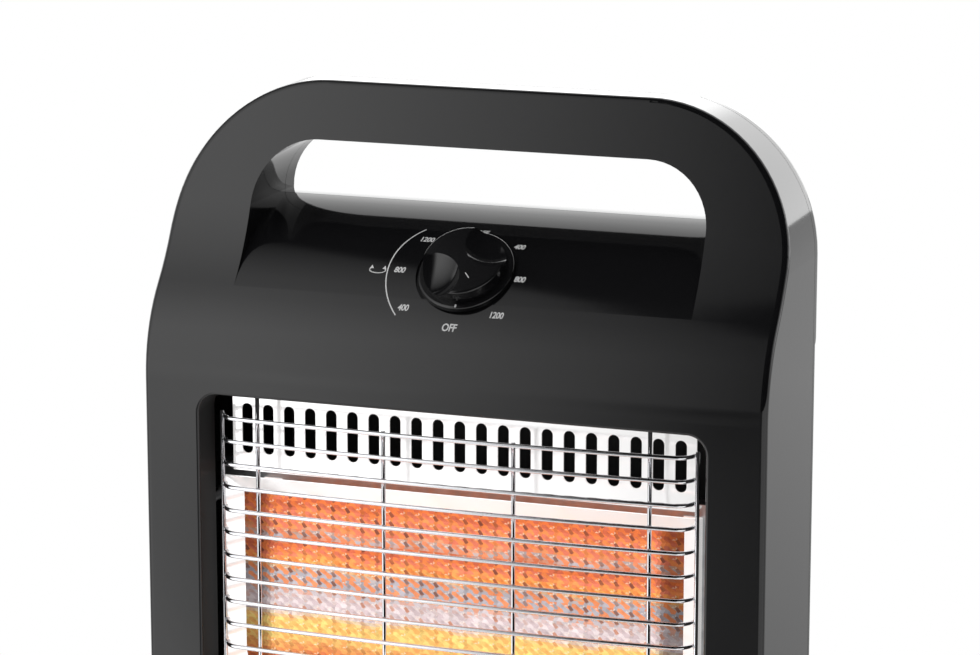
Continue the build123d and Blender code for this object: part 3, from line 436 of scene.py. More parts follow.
def dressed(name, group, skin_values, shader_values):
    """A material whose colour, roughness and normal come from a group, and whose other values
    stand on the shader itself."""
    material = bpy.data.materials.new(name)
    material.use_nodes = True
    tree = material.node_tree
    shader = tree.nodes["Principled BSDF"]
    for label, value in shader_values.items():
        shader.inputs[label].default_value = value
    skin = wire_up(tree, "ShaderNodeGroup", skin_values.items(), node_tree=group)
    for output, label in (("Colour", "Base Color"), ("Roughness",) * 2, ("Normal",) * 2):
        tree.links.new(skin.outputs[output], shader.inputs[label])


# ---------------------------------------------------------------- finishes

GLOSS = {"Specular IOR Level": 0.5, "Coat Weight": 0.1, "Coat Roughness": 0.06}
CLEAR = {"Transmission Weight": 1.0, "IOR": 1.46}
STEEL = {"Metallic": 1.0}
# Painted light: a soft white glow on the polished sheet, standing in for the light of the lamps on
# it.
LIT = {"Metallic": 0.7, "Emission Color": (1.0, 0.98, 0.96, 1), "Emission Strength": 0.45}
HOT = {"Metallic": 1.0, "Emission Color": (1.0, 0.36, 0.07, 1), "Emission Strength": 9.0}

# Slot, name, colour or the setting that has it, least and most roughness, size and depth of the
# grain, how much lighter the dust is, and the values on the shader.
PLASTICS = (
    ("casing", "casing_gloss_black", "plastic", 0.05, 0.09, 180.0, 0.000004, 0.02, GLOSS),
    ("base_plastic", "base_gloss_black", "plastic", 0.07, 0.12, 180.0, 0.000006, 0.02, GLOSS),
    ("knob_plastic", "knob_gloss_black", "plastic", 0.07, 0.12, 300.0, 0.000003, 0.02, GLOSS),
    ("neck_plastic", "neck_satin_black", "satin", 0.38, 0.5, 1400.0, 0.00003, 0.02, {}),
    ("inner_plastic", "inner_satin_black", "satin", 0.45, 0.6, 1100.0, 0.00004, 0.02, {}),
    ("white_nylon", "nylon_white", (0.72, 0.71, 0.67), 0.35, 0.5, 900.0, 0.00002, -0.1, {}),
    ("rubber", "rubber_black", (0.02, 0.02, 0.02), 0.7, 0.85, 1600.0, 0.00006, 0.02, {}),
    ("ceramic", "ceramic_white", (0.74, 0.71, 0.64), 0.75, 0.9, 1800.0, 0.00008, -0.2, {}),
    ("print", "print_ink", "print_ink", 0.4, 0.5, 2500.0, 0.000005, -0.1, {}),
    ("quartz", "quartz_clear", (0.97, 0.95, 0.93), 0.01, 0.04, 200.0, 0.000002, -0.1, CLEAR),
)

# Slot, name, colour or the setting that has it, colour of the stains, least and most roughness, how
# many lines in a metre each way, their depth, how many stains, and the values on the shader.
METALS = (
    ("wire", "wire_chrome", "chrome", (0.8, 0.81, 0.84),
     0.08, 0.16, (500, 500, 500), 0.000004, 60, STEEL),
    # The polished sheet carries a painted glow that stands in for the lamps' light.
    ("polished_sheet", "sheet_polished", "bright", (0.88, 0.88, 0.89),
     0.1, 0.18, (8, 30, 220), 0.00001, 25, LIT),
    # The embossed sheet glows with the painted reflection of the glowing lamps, facet by facet.
    ("embossed_sheet", "sheet_embossed", (0.34,) * 3, (0.26, 0.24, 0.24),
     0.2, 0.32, (400, 400, 400), 0.00001, 60, {"Metallic": 1.0, "Emission Strength": 0.85}),
    ("zinc_sheet", "sheet_zinc", (0.5, 0.51, 0.52), (0.36, 0.37, 0.39),
     0.3, 0.5, (300, 300, 300), 0.00001, 140, STEEL),
    ("spring_steel", "steel_spring", (0.5, 0.49, 0.47), (0.36, 0.35, 0.34),
     0.25, 0.35, (90, 90, 1800), 0.00001, 40, STEEL),
    ("motor_steel", "steel_motor_can", (0.56, 0.56, 0.57), (0.46, 0.46, 0.47),
     0.28, 0.4, (120, 120, 2600), 0.00001, 40, STEEL),
    ("screw", "screw_zinc", (0.42, 0.42, 0.43), (0.3, 0.3, 0.31),
     0.25, 0.4, (1500, 1500, 1500), 0.00001, 400, STEEL),
    ("brass", "brass_plain", (0.72, 0.52, 0.24), (0.5, 0.36, 0.17),
     0.25, 0.38, (1200, 1200, 200), 0.00001, 300, STEEL),
    ("painted_plate", "plate_black_paint", (0.022,) * 3, (0.03,) * 3,
     0.4, 0.55, (700, 700, 700), 0.00003, 60, {"Coat Weight": 0.1}),
    ("cast_weight", "iron_cast", (0.1,) * 3, (0.06, 0.055, 0.05),
     0.6, 0.85, (900, 900, 900), 0.00025, 120, {"Metallic": 0.7}),
    ("filament", "tungsten_glowing", (0.5, 0.3, 0.15), (0.4, 0.2, 0.1),
     0.2, 0.3, (900, 900, 40), 0.00001, 40, HOT),
)

FINISH_OF_SLOT = {slot: name for slot, name, *_ in PLASTICS + METALS}

# Walls inside the window: nearer to the middle than this, behind this, and between these heights.
WINDOW_SIDE, WINDOW_FRONT, WINDOW_BOTTOM, WINDOW_TOP = 123.5 * MM, -57.2 * MM, 85.0 * MM, 392.0 * MM
WINDOW_ROUGHNESS = 0.7


# ---------------------------------------------------------------- operators


class HEATER_OT_finishes(bpy.types.Operator):
    """Give every carried-over part of the heater its finish"""

    bl_idname = "heater.finishes"
    bl_label = "Finishes"

    def execute(self, context):
        look = context.scene.heater_finish
        moulded, metal = moulded_group(), sheet_group()
        for _, name, shade, least, most, size, depth, dust, shader_values in PLASTICS:
            shade = getattr(look, shade) if isinstance(shade, str) else shade
            skin_values = {
                "Colour": rgba(shade),
                "Dust Colour": rgba([part + dust for part in shade]),
                "Least Roughness": least,
                "Most Roughness": most,
                "Grain Size": size,
                "Grain Depth": depth,
            }
            dressed(name, moulded, skin_values, shader_values)
        for _, name, shade, stain, least, most, lines, depth, size, shader_values in METALS:
            shade = getattr(look, shade) if isinstance(shade, str) else shade
            skin_values = {
                "Colour": rgba(shade),
                "Stain Colour": rgba(stain),
                "Least Roughness": least,
                "Most Roughness": most,
                "Line Size": lines,
                "Line Depth": depth,
                "Stain Size": size,
            }
            dressed(name, metal, skin_values, shader_values)
        self.matt_window(finish("casing").node_tree)
        self.facets(finish("embossed_sheet").node_tree)
        for subpart in frame["record"]["subparts"]:
            for spot in frame["nodes"][subpart["node"]].material_slots:
                spot.material = finish(subpart["material_slot"])
        return {"FINISHED"}

    def matt_window(self, tree):
        """Textured plastic on the walls inside the window, rougher than the gloss around it."""
        x, y, z = parts(tree, place_on(tree))
        rough = WINDOW_ROUGHNESS
        for value, limit, operation in (
            (calc(tree, "ABSOLUTE", x), WINDOW_SIDE, "LESS_THAN"),
            (y, WINDOW_FRONT, "GREATER_THAN"),
            (z, WINDOW_BOTTOM, "GREATER_THAN"),
            (z, WINDOW_TOP, "LESS_THAN"),
        ):
            rough = calc(tree, "MULTIPLY", calc(tree, operation, value, limit), rough)
        roughness = tree.nodes["Principled BSDF"].inputs["Roughness"]
        skin = roughness.links[0].from_socket
        tree.links.new(calc(tree, "MAXIMUM", rough, skin), roughness)

    def facets(self, tree):
        """Embossed sheet: a colour attribute on each facet holds the painted reflection of the
        glowing lamps there; the sheet gives it off as emission, and it also colours the stained
        metal."""
        sockets = tree.nodes["Principled BSDF"].inputs
        base, light = sockets["Base Color"], sockets["Emission Color"]
        tint = wire_up(tree, "ShaderNodeAttribute", attribute_name="facet_tint").outputs["Color"]
        stained = base.links[0].from_socket
        tree.links.new(blend_colour(tree, 1.0, stained, tint, "MULTIPLY"), base)
        tree.links.new(tint, light)


class HEATER_OT_guard(bpy.types.Operator):
    """Build the welded wire guard with round wires"""

    bl_idname = "heater.guard"
    bl_label = "Guard"

    BAR_SIDES, UPRIGHT_SIDES = 12, 16
    BOW_POINTS, BEND_POINTS = 41, 10
    # Half sizes of a weld nugget in wire radii: across, and from wire to wire.
    WELD_WIDE, WELD_THIN = 1.25, 0.75

    def execute(self, context):
        s = context.scene.heater_guard
        levels = s.top - s.pitch * np.arange(s.bars)
        lean = math.asin(s.bow_half_width / s.bow_radius)
        centre = s.bow_front + s.bow_radius
        t = np.linspace(-lean, lean, self.BOW_POINTS)
        bow = np.stack([s.bow_radius * np.sin(t), centre - s.bow_radius * np.cos(t)], axis=-1)
        right = arc(bow[-1], lean, s.bend_radius, s.bend_turn, self.BEND_POINTS)
        left = right[::-1] * (-1, 1)
        plan = np.concatenate([left[:-1], bow, right[1:]])
        wires = []
        for level in levels:
            path = np.column_stack([plan, np.full(len(plan), level)])
            wires.append(tube(path, s.wire_radius, self.BAR_SIDES, (0, 0, 1)))

        def behind(x):
            return centre - math.sqrt(s.bow_radius**2 - x**2) + 2 * s.wire_radius - s.weld

        rod_x = plan[-1, 0] + 2 * s.wire_radius - s.weld
        rod_y = plan[-1, 1]
        low, high = levels[-1] - s.wire_radius, levels[0] + s.wire_radius
        wide, thin = self.WELD_WIDE * s.wire_radius, self.WELD_THIN * s.wire_radius
        for side in (-1, 1):
            for x, y, foot, head in (
                (s.inner_x, behind(s.inner_x), low, high),
                (s.outer_x, behind(s.outer_x), s.foot, s.head),
                (rod_x, rod_y, low - s.wire_radius, high + s.wire_radius),
            ):
                path = np.array([(side * x, y, z) for z in np.linspace(foot, head, 3)])
                wires.append(tube(path, s.wire_radius, self.UPRIGHT_SIDES, (1, 0, 0)))
            for level in levels:
                for x in (s.inner_x, s.outer_x):
                    spot = (side * x, behind(x) - s.wire_radius + s.weld / 2, level)
                    wires.append(blob(spot, (wide, thin, wide)))
                spot = (side * (rod_x - s.wire_radius + s.weld / 2), rod_y, level)
                wires.append(blob(spot, (thin, wide, wide)))
        guard = new_piece("guard_wires", wires, "heater", "wire")
        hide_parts("grille")
        return {"FINISHED"}


class HEATER_OT_reflector(bpy.types.Operator):
    """Build the embossed reflector with its troughs and flared rim"""

    bl_idname = "heater.reflector"
    bl_label = "Reflector"

    TROUGH_BEND = 5.0 * MM
    # Chances for so many cells across and up, after which they repeat, four for each cell.
    SEED, CHANCES = 11, (97, 89, 4)
    # Waves of the bands of painted lamp light across the sheet, in radians to a cell, how far
    # chance moves a band in mm, and how much it changes the light of a cell.
    WAVE, BAND_CHANCE, LIGHT_CHANCE = 0.9, 1.6, 0.1
    # Clouds over the sheet: radians to a cell across and to a mm up. They and chance say where the
    # others take the place of most, and how much of their darker colour, a painted shade, the steep
    # faces have.
    CLOUDS = ((0.7, 0.31), (1.9, -0.2))
    SWAP = (0.55, 0.4)
    MARKED, LEAST_MARKED = (0.25, 1.6, -0.9), 0.12
    # Painted highlight on the ridges: the pale colour they go towards, and how far.
    RIDGE, RIDGE_SHARE = (255.0, 236.0, 220.0), 0.55
    # Width in grid squares of the painted shade along the sheet's left and right edges, next to the
    # rim, and its least light.
    WORN_SQUARES, WORN_LIGHT = 8, 0.6

    # One cell of the stamp, three rows of four: heights of the corners as shares of the relief, how
    # far each row leans to the side, and the painted light on the bottom, right, top and left of
    # each square: 0 most, 1 others, 2 steep, with painted shade, 3 ridge, with a painted highlight.
    STAMP = np.array([(0.8, -0.6, -0.2, 0.4), (1.0, -1.0, -0.1, 0.5), (0.3, -0.2, 0.4, -0.3)])
    ROWS, COLUMNS = STAMP.shape
    SLANT = (-0.15, 0.3, -0.25)
    PAINT = (
        ("0020", "0000", "0110", "1111"),
        ("2222", "0110", "1111", "1001"),
        ("2003", "1111", "1001", "3000"),
    )
    # Painted reflection of the glowing lamps: colour of most faces, of the others and of the steep
    # ones, which carry painted shade, in each light on the sheet.
    LIGHTS = {
        "deep": ((236, 122, 72), (208, 106, 76), (150, 84, 66)),
        "orange": ((255, 150, 92), (238, 132, 104), (160, 96, 80)),
        "amber": ((255, 176, 96), (250, 146, 78), (196, 110, 72)),
        "lilac": ((184, 178, 184), (240, 150, 108), (150, 112, 102)),
        "cream": ((232, 216, 216), (214, 194, 196), (222, 160, 138)),
        "glow": ((255, 216, 130), (255, 190, 112), (250, 180, 104)),
    }
    # Height in mm of each band of painted lamp light.
    BANDS = (
        (341, "orange"), (336, "deep"), (331, "orange"), (324, "orange"), (320, "lilac"),
        (316, "deep"), (311, "orange"), (307, "amber"), (302, "lilac"), (296, "lilac"),
        (289, "cream"), (283, "cream"), (279, "glow"), (271, "glow"), (259, "deep"),
        (238, "glow"), (213, "deep"), (188, "glow"), (163, "deep"), (138, "glow"), (112, "deep"),
    )

    def execute(self, context):
        s = context.scene.heater_reflector
        lamps = context.scene.heater_lamps
        line = [(s.face, s.bottom)]
        for row in reversed(range(lamps.lamps)):
            level = lamps.top - lamps.pitch * row
            floor = s.face + s.trough_depth
            line += [
                (s.face, level - s.trough_mouth),
                (floor, level - s.trough_floor),
                (floor, level + s.trough_floor),
                (s.face, level + s.trough_mouth),
            ]
        line.append((s.face, s.top))
        section = self.rounded(np.array(line), self.TROUGH_BEND)
        along = np.concatenate([[0], np.cumsum(np.linalg.norm(np.diff(section, axis=0), axis=1))])
        rows = int(self.ROWS * along[-1] / s.cell_height)
        rise = np.linspace(0, along[-1], rows + 1)
        y, z = np.interp(rise, along, section[:, 0]), np.interp(rise, along, section[:, 1])
        columns = 2 * int(self.COLUMNS * s.half_width / s.cell_width)
        i, j = np.meshgrid(np.arange(columns + 1), np.arange(rows + 1))
        x, v = (2 * i / columns - 1) * s.half_width, j * along[-1] / rows
        inset = np.minimum(s.half_width - abs(x), np.minimum(v, rise[-1] - v))
        stamp = self.STAMP[j % self.ROWS, i % self.COLUMNS]
        relief = s.relief / 2 * stamp * np.clip(inset / s.cell_height, 0, 1)
        square_width = s.cell_width / self.COLUMNS
        x = x + np.array(self.SLANT)[j % self.ROWS] * np.where(inset > 0, square_width, 0)
        slope = unit(np.stack([np.gradient(y), np.gradient(z)], axis=-1))
        points = np.stack(
            [x, y[:, None] - relief * slope[:, None, 1], z[:, None] + relief * slope[:, None, 0]],
            axis=-1,
        ).reshape(-1, 3)
        squares = quads(rows + 1, columns + 1)
        middle = len(points) + np.arange(len(squares))
        points = np.concatenate([points, points[squares].mean(axis=1)])
        faces = np.concatenate(
            [np.stack([squares[:, k], squares[:, (k + 1) % 4], middle], axis=-1) for k in range(4)]
        )
        column, row = i[:-1, :-1].ravel(), j[:-1, :-1].ravel()
        light = self.tints(column, row, z[row], columns)
        surfaces = [(points, [faces]), self.rim(s)]
        reflector = new_piece(
            "embossed_reflector", surfaces, "heater", "embossed_sheet", smooth=False
        )
        reflector.data.materials.append(finish("polished_sheet"))
        mesh = reflector.data
        spots = np.zeros(len(mesh.polygons), np.int32)
        spots[len(faces):] = 1
        mesh.polygons.foreach_set("material_index", spots)
        # Painted reflection of the glowing lamps, one colour for each facet, kept on its corners.
        tints = np.ones((len(mesh.loops), 4), np.float32)
        tints[: faces.size, :3] = np.repeat(light, 3, axis=0)
        tint = mesh.attributes.new("facet_tint", "FLOAT_COLOR", "CORNER")
        tint.data.foreach_set("color", tints.ravel())
        thick = reflector.modifiers.new("sheet", "SOLIDIFY")
        thick.thickness = s.sheet
        thick.offset = -1.0
        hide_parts("main_reflector")
        return {"FINISHED"}

    def tints(self, i, j, heights, columns):
        """Painted reflection of the glowing lamps that each face of the stamp carries, all bottoms
        first, then all right, top and left sides. PAINT says which of the three colours of the band
        of light it has; the steep faces get painted shade, the ridges a paler painted highlight,
        the faces near the left and right edges painted shade, and all vary a little from cell to
        cell and cloud to cloud."""
        chance = np.random.default_rng(self.SEED).random(self.CHANCES)
        cell_column, cell_row = i // self.COLUMNS, j // self.ROWS
        chance = chance[cell_column % self.CHANCES[0], cell_row % self.CHANCES[1]]
        x, level = i / self.COLUMNS, heights / MM
        level = level + np.sin(self.WAVE * x) + self.BAND_CHANCE * (chance[:, 0] - 0.5)
        bands = self.BANDS[::-1]
        levels = [height for height, _ in bands]
        lights = np.array([self.LIGHTS[name] for _, name in bands], float)
        most, others, steep = (
            np.stack([np.interp(level, levels, lights[:, kind, k]) for k in range(3)], -1)
            for kind in range(3)
        )
        cloud = 0.5 + sum(np.sin(a * x + b * level) for a, b in self.CLOUDS) / 4
        swap = chance[:, :1] > self.SWAP[0] + self.SWAP[1] * cloud[:, None]
        # How much painted shade the steep faces get, from the clouds and chance.
        marked = self.MARKED[0] + self.MARKED[1] * cloud + self.MARKED[2] * chance[:, 1]
        marked = np.clip(marked, self.LEAST_MARKED, 1)[:, None]
        # Painted highlight: the ridges go part of the way to a pale colour.
        ridge = most + self.RIDGE_SHARE * (np.array(self.RIDGE) - most)
        # Painted shade along the left and right edges of the sheet, next to the rim, with a little
        # chance from cell to cell.
        inwards = columns / 2 - np.abs(i - columns / 2)
        worn = np.clip(inwards[:, None] / self.WORN_SQUARES, self.WORN_LIGHT, 1)
        worn = worn * (1 + self.LIGHT_CHANCE * (chance[:, 2:3] - 0.5))
        paint = np.array([[[int(side) for side in square] for square in row] for row in self.PAINT])
        sides = []
        for side in range(4):
            kind = paint[j % self.ROWS, i % self.COLUMNS, side][:, None]
            tint = np.where(swap ^ (kind == 1), others, most)
            tint = np.where(kind == 2, most + marked * (steep - most), tint)
            tint = np.where(kind == 3, ridge, tint)
            sides.append(np.minimum(tint / 255 * worn, 1.0) ** DISPLAY_GAMMA)
        return np.concatenate(sides)

    def rounded(self, line, radius, steps=7):
        """The line with each corner replaced by a curve that starts radius away from it:
        (1-t)^2 start + 2t(1-t) corner + t^2 end."""
        before = unit(line[:-2] - line[1:-1]) * radius + line[1:-1]
        after = unit(line[2:] - line[1:-1]) * radius + line[1:-1]
        t = np.linspace(0, 1, steps)[None, :, None]
        bends = (1 - t) ** 2 * before[:, None] + t**2 * after[:, None]
        bends = bends + 2 * t * (1 - t) * line[1:-1, None]
        return np.concatenate([line[:1], bends.reshape(-1, 2), line[-1:]])

    def rim(self, s):
        """Flared rim: each corner of the panel joined to the same corner further out and forward,
        by frame(k) = panel corner + k (rim width outwards, rim depth forwards)."""
        middle, half = (s.top + s.bottom) / 2, (s.top - s.bottom) / 2
        across, up = np.array([(-1, 1, 1, -1), (-1, -1, 1, 1)])
        k = np.array([(0.0,), (0.5,), (1.0,)])
        x = across * (s.half_width + s.rim_width * k)
        y = s.face - s.rim_depth * k + 0 * across
        z = middle + up * (half + s.rim_width * k)
        return np.stack([x, y, z], axis=-1).reshape(-1, 3), [quads(3, 4, wrap=True)[:, ::-1]]


class HEATER_OT_lamps(bpy.types.Operator):
    """Build the coiled filaments inside the quartz tubes"""

    bl_idname = "heater.lamps"
    bl_label = "Lamps"

    POINTS_PER_TURN, COIL_SIDES, LEAD_SIDES, LOOP_POINTS = 10, 5, 8, 25

    def execute(self, context):
        s = context.scene.heater_lamps
        turns = 2 * s.coil_half_length / s.coil_pitch
        t = np.linspace(0, turns, int(turns * self.POINTS_PER_TURN) + 1)
        loop = np.linspace(0, 1, self.LOOP_POINTS)
        supports = np.arange(-s.coil_half_length, s.coil_half_length, s.support_pitch)[1:]
        for row in range(s.lamps):
            level = s.top - s.pitch * row
            coil = self.around(s, level, t * s.coil_pitch - s.coil_half_length, s.coil_radius, t)
            wires = [tube(coil, s.coil_wire, self.COIL_SIDES, (1, 0, 0))]
            for side in (-1, 1):
                start, end = side * s.coil_half_length, side * s.lead_half_length
                lead = np.array([(x, s.depth, level) for x in np.linspace(start, end, 4)])
                wires.append(tube(lead, 2 * s.coil_wire, self.LEAD_SIDES, (0, 0, 1)))
            reach = s.coil_radius + (s.tube_bore - s.coil_radius) * loop
            for x in supports:
                path = self.around(s, level, x, reach, loop)
                wires.append(tube(path, s.coil_wire, self.COIL_SIDES, (1, 0, 0)))
            name = f"filament_coil_{row + 1}"
            filament = new_piece(name, wires, "heater", "filament")
            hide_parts(f"filament_{row + 1}")
        return {"FINISHED"}

    def around(self, s, level, x, radius, turns):
        """Line round a lamp's middle: (x, depth + radius cos a, level + radius sin a), where a is
        the angle after so many turns."""
        a = 2 * np.pi * turns
        y, z = s.depth + radius * np.cos(a), level + radius * np.sin(a)
        return np.stack([x + 0 * a, y, z], axis=-1)


def shoulder(s, across, up, lift):
    """Points on the shoulder and the bulge below it: across is X, up is the distance along the
    curved casing from the knob's middle, and lift is the height above the skin. Two arcs that
    meet at the bulge's end: centre + radius (-cos lean, sin lean)."""
    end = s.bulge_turn
    join = (end - s.knob_turn) * s.shoulder_radius
    above = up >= join
    radius = np.where(above, s.shoulder_radius, s.bulge_radius)
    lean = np.where(above, s.knob_turn + up / radius, end + (up - join) / radius)
    lean = np.maximum(lean, 0)
    start = np.where(above, end, 0)
    start_y = s.front + above * s.bulge_radius * (1 - math.cos(end))
    start_z = s.bulge_start + above * s.bulge_radius * math.sin(end)
    y = start_y + radius * (np.cos(start) - np.cos(lean))
    z = start_z + radius * (np.sin(lean) - np.sin(start))
    return np.stack([across, y - lift * np.cos(lean), z + lift * np.sin(lean)], axis=-1)


class HEATER_OT_dial(bpy.types.Operator):
    """Print the dial's plain words and numbers, its arc and its swivel arrow"""

    bl_idname = "heater.dial"
    bl_label = "Dial"

    # Word, millimetres across and up the shoulder from the knob's middle, and size.
    MARKS = (
        ("OFF", -1.6, -29.6, 1.15),
        ("400", -25.4, -21.6, 1.0),
        ("800", -32.2, -1.8, 1.0),
        ("1200", -25.0, 18.4, 1.0),
        ("OFF", -0.7, 26.4, 1.0),
        ("400", 20.4, 17.6, 1.0),
        ("800", 26.2, -2.4, 1.0),
        ("1200", 19.6, -22.0, 1.0),
    )
    # Middle, half width, half height, start and end in degrees, and half width of the line, of the
    # arc round the dial and of the swivel arrow.
    LINES = (
        ((0, 0), 38.0, 38.0, 137.0, 222.0, 0.28),
        ((-42.8, -2.6), 3.9, 1.7, 150.0, 390.0, 0.22),
    )
    # Corners of the right arrowhead, which is mirrored for the left one, and how far out it sits.
    ARROWHEAD = ((0.0, 1.5), (-1.1, -0.4), (0.9, -0.5))
    ARROW_MIDDLE, ARROW_REACH = (-42.8, -1.4), 3.2
    STROKE_POINTS = 49
    # Marks on the knob: millimetres across and up, turn in degrees, half length and half width.
    POINTER = (4.8, -8.85, -49.0, 1.9, 0.18)
    DASH = (1.1, -21.4, -87.0, 0.8, 0.4)
    # Size of a letter's em to its height, how narrow, close, slanted and heavy the letters are.
    EM, NARROW, SPACING, SHEAR, WEIGHT = 1.42, 0.82, 0.95, 0.17, 0.035

    def execute(self, context):
        s = context.scene.heater_dial
        surfaces = []
        for word, across, up, scale in self.MARKS:
            flat, faces = self.letters(word, s.letter_height * scale)
            points = shoulder(s, flat[:, 0] + across * MM, flat[:, 1] + up * MM, s.ink)
            surfaces.append((points, faces))
        surfaces += [self.stroke(s, *line) for line in self.LINES]
        for side in (-1, 1):
            tip = np.array(self.ARROWHEAD) * (side, 1) * MM
            centre = np.array(self.ARROW_MIDDLE) + (side * self.ARROW_REACH, 0)
            tip = tip + centre * MM
            order = np.array([[0, 1, 2][::side]])
            surfaces.append((shoulder(s, tip[:, 0], tip[:, 1], s.ink), [order]))
        new_piece("dial_print", surfaces, "heater", "white_nylon", smooth=False, look="print")
        self.knob_marks(s)
        return {"FINISHED"}

    def letters(self, word, height):
        """Flat mesh of a narrow slanted word, centred: (points, faces)."""
        curve = bpy.data.curves.new(word, "FONT")
        curve.body = word
        curve.align_x, curve.align_y = "CENTER", "CENTER"
        curve.size = height * self.EM
        curve.space_character = self.SPACING
        curve.shear = self.SHEAR
        curve.offset = height * self.WEIGHT
        curve.resolution_u = 3
        made = bpy.data.objects.new(word, curve)
        bpy.context.scene.collection.objects.link(made)
        bpy.context.view_layer.update()
        mesh = bpy.data.meshes.new_from_object(made)
        mesh.calc_loop_triangles()
        points = np.zeros(3 * len(mesh.vertices), np.float32)
        mesh.vertices.foreach_get("co", points)
        triangles = np.zeros(3 * len(mesh.loop_triangles), np.int32)
        mesh.loop_triangles.foreach_get("vertices", triangles)
        bpy.data.objects.remove(made)
        bpy.data.curves.remove(curve)
        bpy.data.meshes.remove(mesh)
        return points.reshape(-1, 3) * (self.NARROW, 1.0, 1.0), [triangles.reshape(-1, 3)]

    def stroke(self, s, centre, wide, high, start, end, half_width):
        """Printed line along part of an ellipse, centre + (wide cos t, high sin t), moved half its
        width in and out."""
        t = np.radians(np.linspace(start, end, self.STROKE_POINTS))
        line = np.stack([centre[0] + wide * np.cos(t), centre[1] + high * np.sin(t)], axis=-1)
        out = unit(np.stack([high * np.cos(t), wide * np.sin(t)], axis=-1)) * half_width
        flat = np.stack([line - out, line + out], axis=1).reshape(-1, 2) * MM
        return shoulder(s, flat[:, 0], flat[:, 1], s.ink), [quads(len(line), 2)[:, ::-1]]

    def knob_marks(self, s):
        """Pointer line at the end of the finger bar and the dash on the skirt."""
        lean = s.knob_turn
        normal = np.array([0, -math.cos(lean), math.sin(lean)])
        up = np.array([0, math.sin(lean), math.cos(lean)])
        across = np.array([1.0, 0, 0])
        skin = shoulder(s, np.zeros(1), np.zeros(1), -s.seat_depth)[0]
        surfaces = []
        for u, v, turn, half_long, half_wide, height in (
            (*self.POINTER, s.knob_height),
            (*self.DASH, s.skirt_height),
        ):
            angle = math.radians(turn)
            outwards = math.cos(angle) * across + math.sin(angle) * up
            sideways = np.cross(normal, outwards)
            centre = skin + normal * (s.knob_gap + height + s.ink) + (u * across + v * up) * MM
            corners = [
                centre + outwards * a * half_long * MM + sideways * b * half_wide * MM
                for a, b in ((-1, -1), (1, -1), (1, 1), (-1, 1))
            ]
            surfaces.append((np.array(corners), [np.array([[0, 1, 2, 3]])]))
        new_piece("knob_marks", surfaces, "knob", "white_nylon", smooth=False, look="print")


class HEATER_OT_screws(bpy.types.Operator):
    """Build the screws that show, with cross recesses"""

    bl_idname = "heater.screws"
    bl_label = "Screws"

    # Body, way the heads face, and in mm the head's radius and height, and the shank's radius and
    # length.
    KINDS = {
        "case": ("heater", (0, 1, 0), 3.4, 2.2, 1.5, 12.0),
        "neck": ("heater", (0, 0, -1), 3.4, 2.2, 1.5, 9.0),
        "base": ("base", (0, 0, -1), 2.5, 1.5, 1.3, 8.0),
    }
    # The cross, in head radii: half width of its arms, its length, and how softly both end.
    ARM_WIDTH, ARM_LENGTH, SIDE_SLOPE, END_SLOPE = 0.16, 0.58, 0.08, 0.1
    # Height of the head's rim and depth of the cross in head heights, how much of a half ball the
    # dome is, and where its first ring is in head radii.
    RIM, CROSS_DEPTH, DOME, FIRST_RING = 0.45, 0.5, 0.96, 0.04
    SIDES, DOME_RINGS = 32, 12

    def execute(self, context):
        s = context.scene.heater_screw
        levels = (s.case_low, s.case_middle, s.case_high)
        case = [(side * s.case_x, s.case_seat, z) for side in (-1, 1) for z in levels]
        case += [(side * s.top_x, s.case_seat, s.top_z) for side in (-1, 1)]
        neck = [(a * s.neck_x, b * s.neck_y, s.neck_seat) for a in (-1, 1) for b in (-1, 1)]
        turns = np.radians(30 + 120 * np.arange(3))
        base = [
            (s.base_ring * math.cos(t), s.base_ring * math.sin(t), s.base_seat) for t in turns
        ]
        for kind, spots in (("case", case), ("neck", neck), ("base", base)):
            body, *sizes = self.KINDS[kind]
            surfaces = [self.screw(spot, *sizes) for spot in spots]
            screws = new_piece(f"{kind}_screw_heads", surfaces, body, "screw")
            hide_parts(f"{kind}_screws")
        return {"FINISHED"}

    def screw(self, spot, facing, radius, height, shank, reach):
        """Pan-head screw: rings (r, h) of a domed head with a cross sunk into it, and the shank
        behind: point = seat + r (cos t, sin t) + h facing, lowered inside the cross."""
        facing = np.array(facing, float)
        side = unit(np.cross(facing, (1.0, 0.2, 0.1)))
        up = np.cross(facing, side)
        crown = np.linspace(self.FIRST_RING, 1, self.DOME_RINGS)
        dome = self.RIM + (1 - self.RIM) * np.sqrt(1 - self.DOME * crown**2)
        r = np.concatenate([radius * crown, [radius, shank, shank]])
        h = np.concatenate([height * dome, [0, 0, -reach]])
        t = np.linspace(0, 2 * np.pi, self.SIDES, endpoint=False)
        a, b = r[:, None] * np.cos(t), r[:, None] * np.sin(t)
        near, far = np.minimum(abs(a), abs(b)), np.maximum(abs(a), abs(b))
        cross = np.clip((self.ARM_WIDTH * radius - near) / (self.SIDE_SLOPE * radius), 0, 1)
        cross *= np.clip((self.ARM_LENGTH * radius - far) / (self.END_SLOPE * radius), 0, 1)
        cross[len(crown):] = 0
        depth = h[:, None] - self.CROSS_DEPTH * height * cross
        points = a[..., None] * side + b[..., None] * up + depth[..., None] * facing
        points = points[::-1] * MM + np.asarray(spot)
        return points.reshape(-1, 3), closed(len(r), self.SIDES)


